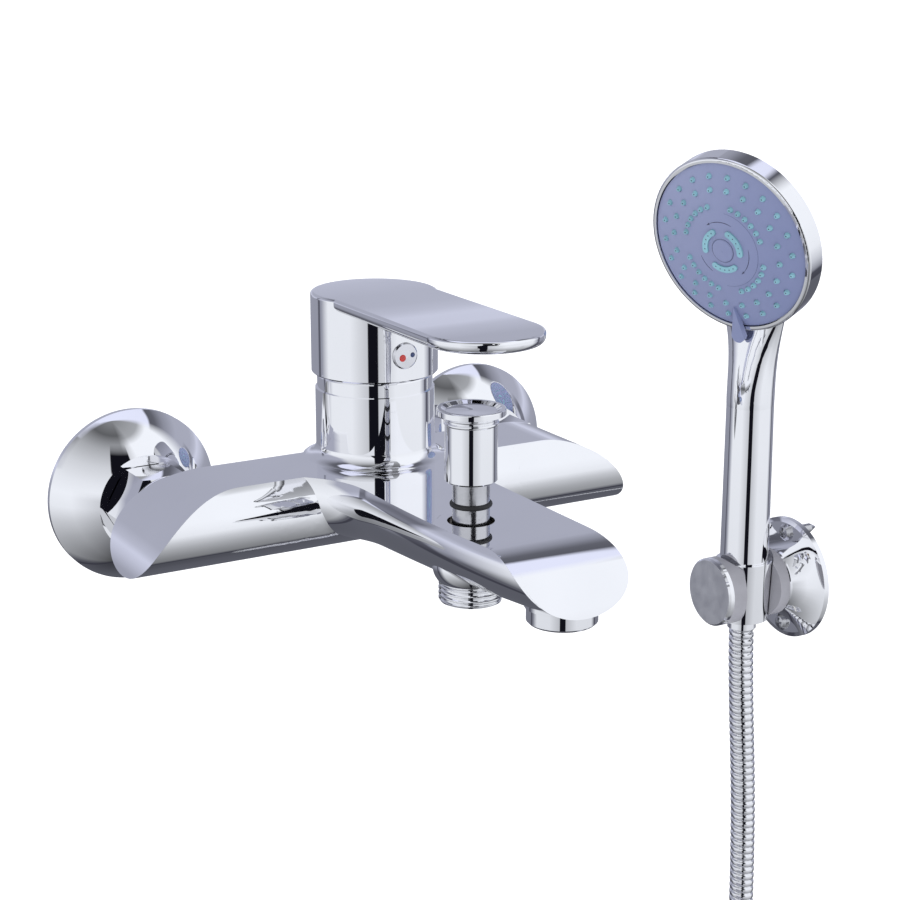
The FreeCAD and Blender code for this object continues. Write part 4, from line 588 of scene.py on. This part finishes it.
def discs(name, spots, radius, rise, material, body):
    """Small domed discs, each at a place with a direction."""
    verts, faces = [], []
    sides = 14
    for spot, facing in spots:
        axis = facing.normalized()
        side = axis.orthogonal().normalized()
        other = axis.cross(side)
        base = len(verts)
        for share, lift in ((1.0, -0.3), (0.92, 0.35), (0.6, 0.8)):
            for j in range(sides):
                angle = 2 * math.pi * j / sides
                flat = side * math.cos(angle) + other * math.sin(angle)
                verts.append(spot + (flat * radius * share + axis * rise * lift) * MM)
        verts.append(spot + axis * rise * MM)
        for ring in range(2):
            for j in range(sides):
                k = (j + 1) % sides
                low, high = base + ring * sides, base + (ring + 1) * sides
                faces.append((low + j, low + k, high + k, high + j))
        top = base + 2 * sides
        for j in range(sides):
            faces.append((top + j, top + (j + 1) % sides, base + 3 * sides))
    return dress(mesh_piece(name, verts, faces), material, body)


def face_spots(places, lift):
    spots = []
    for radius, degrees in places:
        x, y = radius * math.cos(math.radians(degrees)), radius * math.sin(math.radians(degrees))
        spots.append((on_face(x, y, dome_at(radius) + lift), FACE_TURN @ Vector((0, 0, 1))))
    return spots


face_line("face_ring", 16.6, -8, -184, 0.22, FAINT_LINE)
face_line("turn_mark_top", 12.5, 25, -26, 0.42, INK_AND_HOLE_SHADE, 0.5)
face_line("turn_mark_left", 12.5, 108, 146, 0.42, INK_AND_HOLE_SHADE)
face_line("turn_mark_right", 12.5, -135, -82, 0.42, INK_AND_HOLE_SHADE, 0.5)
face_line("cap_line", 5.25, 0, 360, 0.30, INK_AND_HOLE_SHADE)

nozzles = [
    (share * FACE_R, 360 * (i + 0.5) / count)
    for share, count in ((0.86, 22), (0.71, 20)) for i in range(count)
]
nozzles += [(0.525 * FACE_R, 45 + 90 * quarter + 11 * (i - 2.5)) for quarter in range(4) for i in range(6)]
# The nozzle and pad holes are dark discs: painted shade for the inside of each hole.
discs("nozzle_holes", face_spots(nozzles, 1.1), 0.34, 0.04, INK_AND_HOLE_SHADE, "spray_dial")
pad_holes = [(8.6, turn + 15 * (i - 2)) for turn in (60, 180, 300) for i in range(5)]
discs("pad_holes", face_spots(pad_holes, 0.7), 0.30, 0.04, INK_AND_HOLE_SHADE, "spray_dial")


# The casting's skin, in mm: closed lids, a wide spout, and plain arm ends with a turned neck behind each.
# A run is a place along a limb, measured from the middle plane (arms) or from the wall (spout).

# Oval arms, from the casting
ARM_Y, ARM_Z, ARM_DEPTH, ARM_RISE = -61.0, 7.0, 22.0, 18.0
ARM_SKIN_START, ARM_SKIN_OUT, ARM_SKIN_FADE = 50.0, 52.0, 3.0
# Lids: flat at one height up to a bend, then rolling down on a radius
LID_Z, ARM_BEND, ARM_LID_R = 20.0, 63.0, 41.0
SPOUT_BEND, SPOUT_LID_R = 178.0, 27.0
SPOUT_LID_START, SPOUT_LID_END = 163.0, 204.18
# The spout's left side: how far it swells, and where its flare into the arm ends
SIDE_START, SIDE_END, SIDE_FADE = 74.0, 203.0, 4.0
SWELL, SWELL_START, SWELL_LENGTH = 8.5, 95.0, 108.0
FLARE, FLARE_END, FLARE_LENGTH = 14.0, 104.0, 30.0
# Rear bosses and the spigots that stand on them
INLET_X, BOSS_R, SPIGOT_R = 75.0, 21.0, 10.8
BOSS_FRONT, BOSS_BACK = -61.05, -36.9
# The aerator's boss and bore
AERATOR_Y, AERATOR_BOSS_R, SPOUT_TIP_Z = -189.5, 12.6, 13.8
AERATOR_BOSS_LOW = 3.5
BORE_R, BORE_LOW, BORE_HIGH, BORE_END = 11.3, 6.5, 9.6, 7.4
HOUSING_TOP, WASHER_MIDDLE, WASHER_TOP = 6.0, 8.7, 7.35
# The diverter's boss
DIVERTER_X, DIVERTER_RUN, DIVERTER_BOSS_R = -12.0, 151.0, 12.0
# How far a skin stands off the casting
SKIN = 0.02


def lid_height(run, bend, radius):
    return LID_Z if run <= bend else LID_Z - radius + math.sqrt(max(0.0, radius ** 2 - (run - bend) ** 2))


def lid_slope(run, bend, radius):
    """The lid's upward direction at a run along its limb, as (along, up)."""
    along = max(0.0, (run - bend) / radius)
    return along, math.sqrt(max(0.0, 1 - along ** 2))


def spout_oval(run):
    """Half width, half height and middle height of the spout's oval at a run."""
    share = (run - 60) / 146
    return 20.5 - 0.5 * share, 19.5 - 5.2 * share, 10.5 + 3.3 * share


def runs_between(start, bend, radius, finish, steps):
    """Places along a lid, evenly on the flat and evenly round the bend."""
    flat = [start + (bend - start) * i / 6 for i in range(6)]
    turn = math.asin(min(1.0, (finish - bend) / radius))
    return flat + [bend + radius * math.sin(turn * i / steps) for i in range(steps + 1)]


def grid_faces(rows, columns, start=0, flip=False):
    faces = []
    for i in range(rows - 1):
        for j in range(columns - 1):
            k = start + i * columns + j
            face = (k, k + 1, k + columns + 1, k + columns)
            faces.append(tuple(reversed(face)) if flip else face)
    return faces


def arm_skin(name, side):
    """Outside of one arm from x = 50 mm to its tip: the oval under the lid, and the lid itself."""
    lowest = ARM_Z - ARM_RISE
    tip = ARM_BEND + math.sqrt(ARM_LID_R ** 2 - (ARM_LID_R - LID_Z + lowest) ** 2) - 0.002
    runs = runs_between(ARM_SKIN_START, ARM_BEND, ARM_LID_R, tip, 60)
    round_cols, lid_cols = 65, 17
    oval, lid = [], []
    for run in runs:
        top = lid_height(run, ARM_BEND, ARM_LID_R)
        start = math.asin(max(-1.0, min(1.0, (top - ARM_Z) / ARM_RISE)))
        skin = SKIN * min(1.0, (run - ARM_SKIN_OUT) / ARM_SKIN_FADE)
        for j in range(round_cols):
            angle = start - (math.pi + 2 * start) * j / (round_cols - 1)
            y = ARM_Y - (ARM_DEPTH + skin) * math.cos(angle)
            oval.append(Vector((side * run, y, ARM_Z + (ARM_RISE + skin) * math.sin(angle))) * MM)
        along, rise = lid_slope(run, ARM_BEND, ARM_LID_R)
        half = (ARM_DEPTH + skin) * math.cos(start)
        for j in range(lid_cols):
            y = ARM_Y - half + 2 * half * j / (lid_cols - 1)
            lid.append(Vector((side * (run + along * skin), y, top + rise * skin)) * MM)
    faces = grid_faces(len(runs), round_cols, 0, side < 0)
    faces += grid_faces(len(runs), lid_cols, len(oval), side > 0)
    return dress(mesh_piece(name, oval + lid, faces), CHROME, "mixer")


def spout_lid():
    """The spout's lid from behind its bend to where it meets the spout's underside."""
    verts, columns = [], 33
    for run in runs_between(SPOUT_LID_START, SPOUT_BEND, SPOUT_LID_R, SPOUT_LID_END, 60):
        top = lid_height(run, SPOUT_BEND, SPOUT_LID_R)
        half_x, half_z, middle = spout_oval(run)
        half = half_x * math.sqrt(max(0.0, 1 - ((top - middle) / half_z) ** 2))
        along, rise = lid_slope(run, SPOUT_BEND, SPOUT_LID_R)
        for j in range(columns):
            x = -half + 2 * half * j / (columns - 1)
            verts.append(Vector((x, -run - along * SKIN, top + rise * SKIN)) * MM)
    faces = grid_faces(len(verts) // columns, columns, 0, True)
    return dress(mesh_piece("spout_lid", verts, faces), CHROME, "mixer")


def spout_side():
    """The spout's left side: wide enough to take in the diverter's boss, and flared into the arm."""
    side, lid = [], []
    rows, cols, lid_cols = 109, 33, 5
    for i in range(rows):
        run = SIDE_START + (SIDE_END - SIDE_START) * i / (rows - 1)
        half_x, half_z, middle = spout_oval(run)
        swell = SWELL * (1 - max(0.0, (run - SWELL_START) / SWELL_LENGTH) ** 3)
        swell += FLARE * max(0.0, (FLARE_END - run) / FLARE_LENGTH) ** 2.5
        # It starts and ends just inside the casting
        inset = min(run - SIDE_START, SIDE_END - run) - 1
        skin = 1.5 * SKIN * min(1.0, inset / SIDE_FADE)
        top = lid_height(run, SPOUT_BEND, SPOUT_LID_R)
        start = math.asin(max(-1.0, min(1.0, (top - middle) / half_z)))
        for j in range(cols):
            angle = start - (math.radians(88) + start) * j / (cols - 1)
            out = swell * (1.0 if angle > 0 else math.cos(angle))
            x = (half_x + skin) * math.cos(angle) + out
            side.append(Vector((-x, -run, middle + (half_z + skin) * math.sin(angle))) * MM)
        edge = half_x * math.cos(start)
        along, rise = lid_slope(run, SPOUT_BEND, SPOUT_LID_R)
        inner = edge - 0.8
        if abs(run - DIVERTER_RUN) < DIVERTER_BOSS_R:
            beside = math.sqrt(DIVERTER_BOSS_R ** 2 - (run - DIVERTER_RUN) ** 2)
            inner = max(inner, -DIVERTER_X + beside - 0.6)
        outer = max(inner, edge + skin + swell)
        for j in range(lid_cols):
            x = outer + (inner - outer) * j / (lid_cols - 1)
            lid.append(Vector((-x, -run - along * skin, top + rise * skin)) * MM)
    # Nothing of it crosses the boss's bore
    reach = [math.hypot(v.x / MM - DIVERTER_X, v.y / MM + DIVERTER_RUN) for v in side]
    faces = [f for f in grid_faces(rows, cols) if max(reach[k] for k in f) > DIVERTER_BOSS_R - 0.1]
    faces += grid_faces(rows, lid_cols, len(side), True)
    return dress(mesh_piece("spout_side", side + lid, faces), CHROME, "mixer")


def neck(name, side):
    """The round neck behind an arm, which carries the spigot for the union nut."""
    profile = [
        (10.85, -37.0), (14.2, -37.0), (15.3, -37.3), (16.1, -38.0), (16.5, -39.0),
        (16.4, -41.0), (15.6, -45.0), (13.5, -52.0), (11.0, -57.0), (8.5, -61.0),
    ]
    sides = 64
    verts = []
    for r, y in profile:
        for j in range(sides):
            angle = 2 * math.pi * j / sides
            verts.append(Vector((side * INLET_X + r * math.cos(angle), y, r * math.sin(angle))) * MM)
    faces = ring_faces(len(profile), sides, True)
    return dress(mesh_piece(name, verts, faces), CHROME, "mixer")


def on_boss(spots):
    """True where a face lies on one of the two wide bosses that the arms' skins stand for."""
    for side in (-1, 1):
        reach = [math.hypot(s.x - side * INLET_X, s.z) for s in spots]
        if min(reach) > SPIGOT_R - 0.1 and max(reach) < BOSS_R + 0.06:
            if all(BOSS_FRONT < s.y < BOSS_BACK for s in spots):
                return True
    return False


def on_aerator_boss(spots):
    """True where a face lies on the end or the side of the aerator's boss, above the spout's underside."""
    reach = [math.hypot(s.x, s.y - AERATOR_Y) for s in spots]
    if all(s.z > SPOUT_TIP_Z - 0.02 for s in spots) and max(reach) < AERATOR_BOSS_R + 0.05:
        return all(s.z < SPOUT_TIP_Z + 0.02 for s in spots)
    return all(abs(r - AERATOR_BOSS_R) < 0.12 for r in reach) and all(s.z > AERATOR_BOSS_LOW for s in spots)


def stand_in(name, mesh, node, material):
    """A changed copy of a node's mesh, shown in its place."""
    obj = bpy.data.objects.new(name, mesh)
    bpy.context.scene.collection.objects.link(obj)
    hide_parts(node)
    return dress(obj, material, "mixer")


def casting():
    """The casting without the faces of the rear bosses and of the aerator's boss."""
    mesh = NODES["mixer_body"].data.copy()
    shape = bmesh.new()
    shape.from_mesh(mesh)
    gone = []
    for face in shape.faces:
        spots = [v.co / MM for v in face.verts]
        if on_boss(spots) or on_aerator_boss(spots):
            gone.append(face)
    print("casting faces left out", len(gone), "of", len(shape.faces))
    bmesh.ops.delete(shape, geom=gone, context="FACES")
    # The aerator's bore ends under the lid
    for v in shape.verts:
        if math.hypot(v.co.x / MM, v.co.y / MM - AERATOR_Y) < BORE_R and BORE_LOW < v.co.z / MM < BORE_HIGH:
            v.co.z = BORE_END * MM
    shape.to_mesh(mesh)
    shape.free()
    return stand_in("casting", mesh, "mixer_body", CHROME)


def aerator_ring():
    """The aerator's housing with its threaded part kept under the lid."""
    mesh = NODES["aerator_housing"].data.copy()
    for v in mesh.vertices:
        v.co.z = min(v.co.z, HOUSING_TOP * MM)
    return stand_in("aerator_ring", mesh, "aerator_housing", CHROME)


def aerator_seal():
    """The aerator's washer, between the shorter housing and the end of the bore."""
    mesh = NODES["aerator_washer"].data.copy()
    for v in mesh.vertices:
        v.co.z = (HOUSING_TOP if v.co.z < WASHER_MIDDLE * MM else WASHER_TOP) * MM
    return stand_in("aerator_seal", mesh, "aerator_washer", MATERIALS["black_rubber"])


casting()
aerator_ring()
aerator_seal()
spout_lid()
spout_side()
for side, hand in ((-1, "left"), (1, "right")):
    arm_skin(hand + "_arm_skin", side)
    neck(hand + "_neck", side)


# Hot and cold marks on the lever's button

BUTTON_FACE = -84.35


def button_mark(name, x, z, radius, material):
    spot = (Vector((x, BUTTON_FACE, z)) * MM, Vector((0, -1, 0)))
    return discs(name, [spot], radius, 0.14, material, "lever")


button_mark("hot_mark", -1.35, 61.4, 1.35, RED_MARK)
button_mark("cold_mark", 2.7, 62.2, 0.95, BLUE_MARK)


# Thread on the shower outlet

def outlet_thread():
    """A G1/2 thread that starts and ends in the plain outlet, wound round it."""
    sides, steps = 72, 90
    pitch, low, high = 1.814, -7.8, -1.2
    root_r, ridge_height = 10.42, 0.62
    verts = []
    for i in range(steps + 1):
        z = low + (high - low) * i / steps
        ends = min(1, (z - low) / 0.7, (high - z) / 0.7)
        for j in range(sides):
            angle = 2 * math.pi * j / sides
            phase = (z / pitch + angle / (2 * math.pi)) % 1.0
            ridge = min(1, max(0, 1.35 - abs(phase - 0.5) * 3.4))
            r = root_r + ridge_height * ridge * ends
            x, y = DIVERTER_X + r * math.cos(angle), -DIVERTER_RUN + r * math.sin(angle)
            verts.append(Vector((x, y, z)) * MM)
    faces = ring_faces(steps + 1, sides)
    return dress(mesh_piece("outlet_thread", verts, faces), CHROME, "mixer")


outlet_thread()
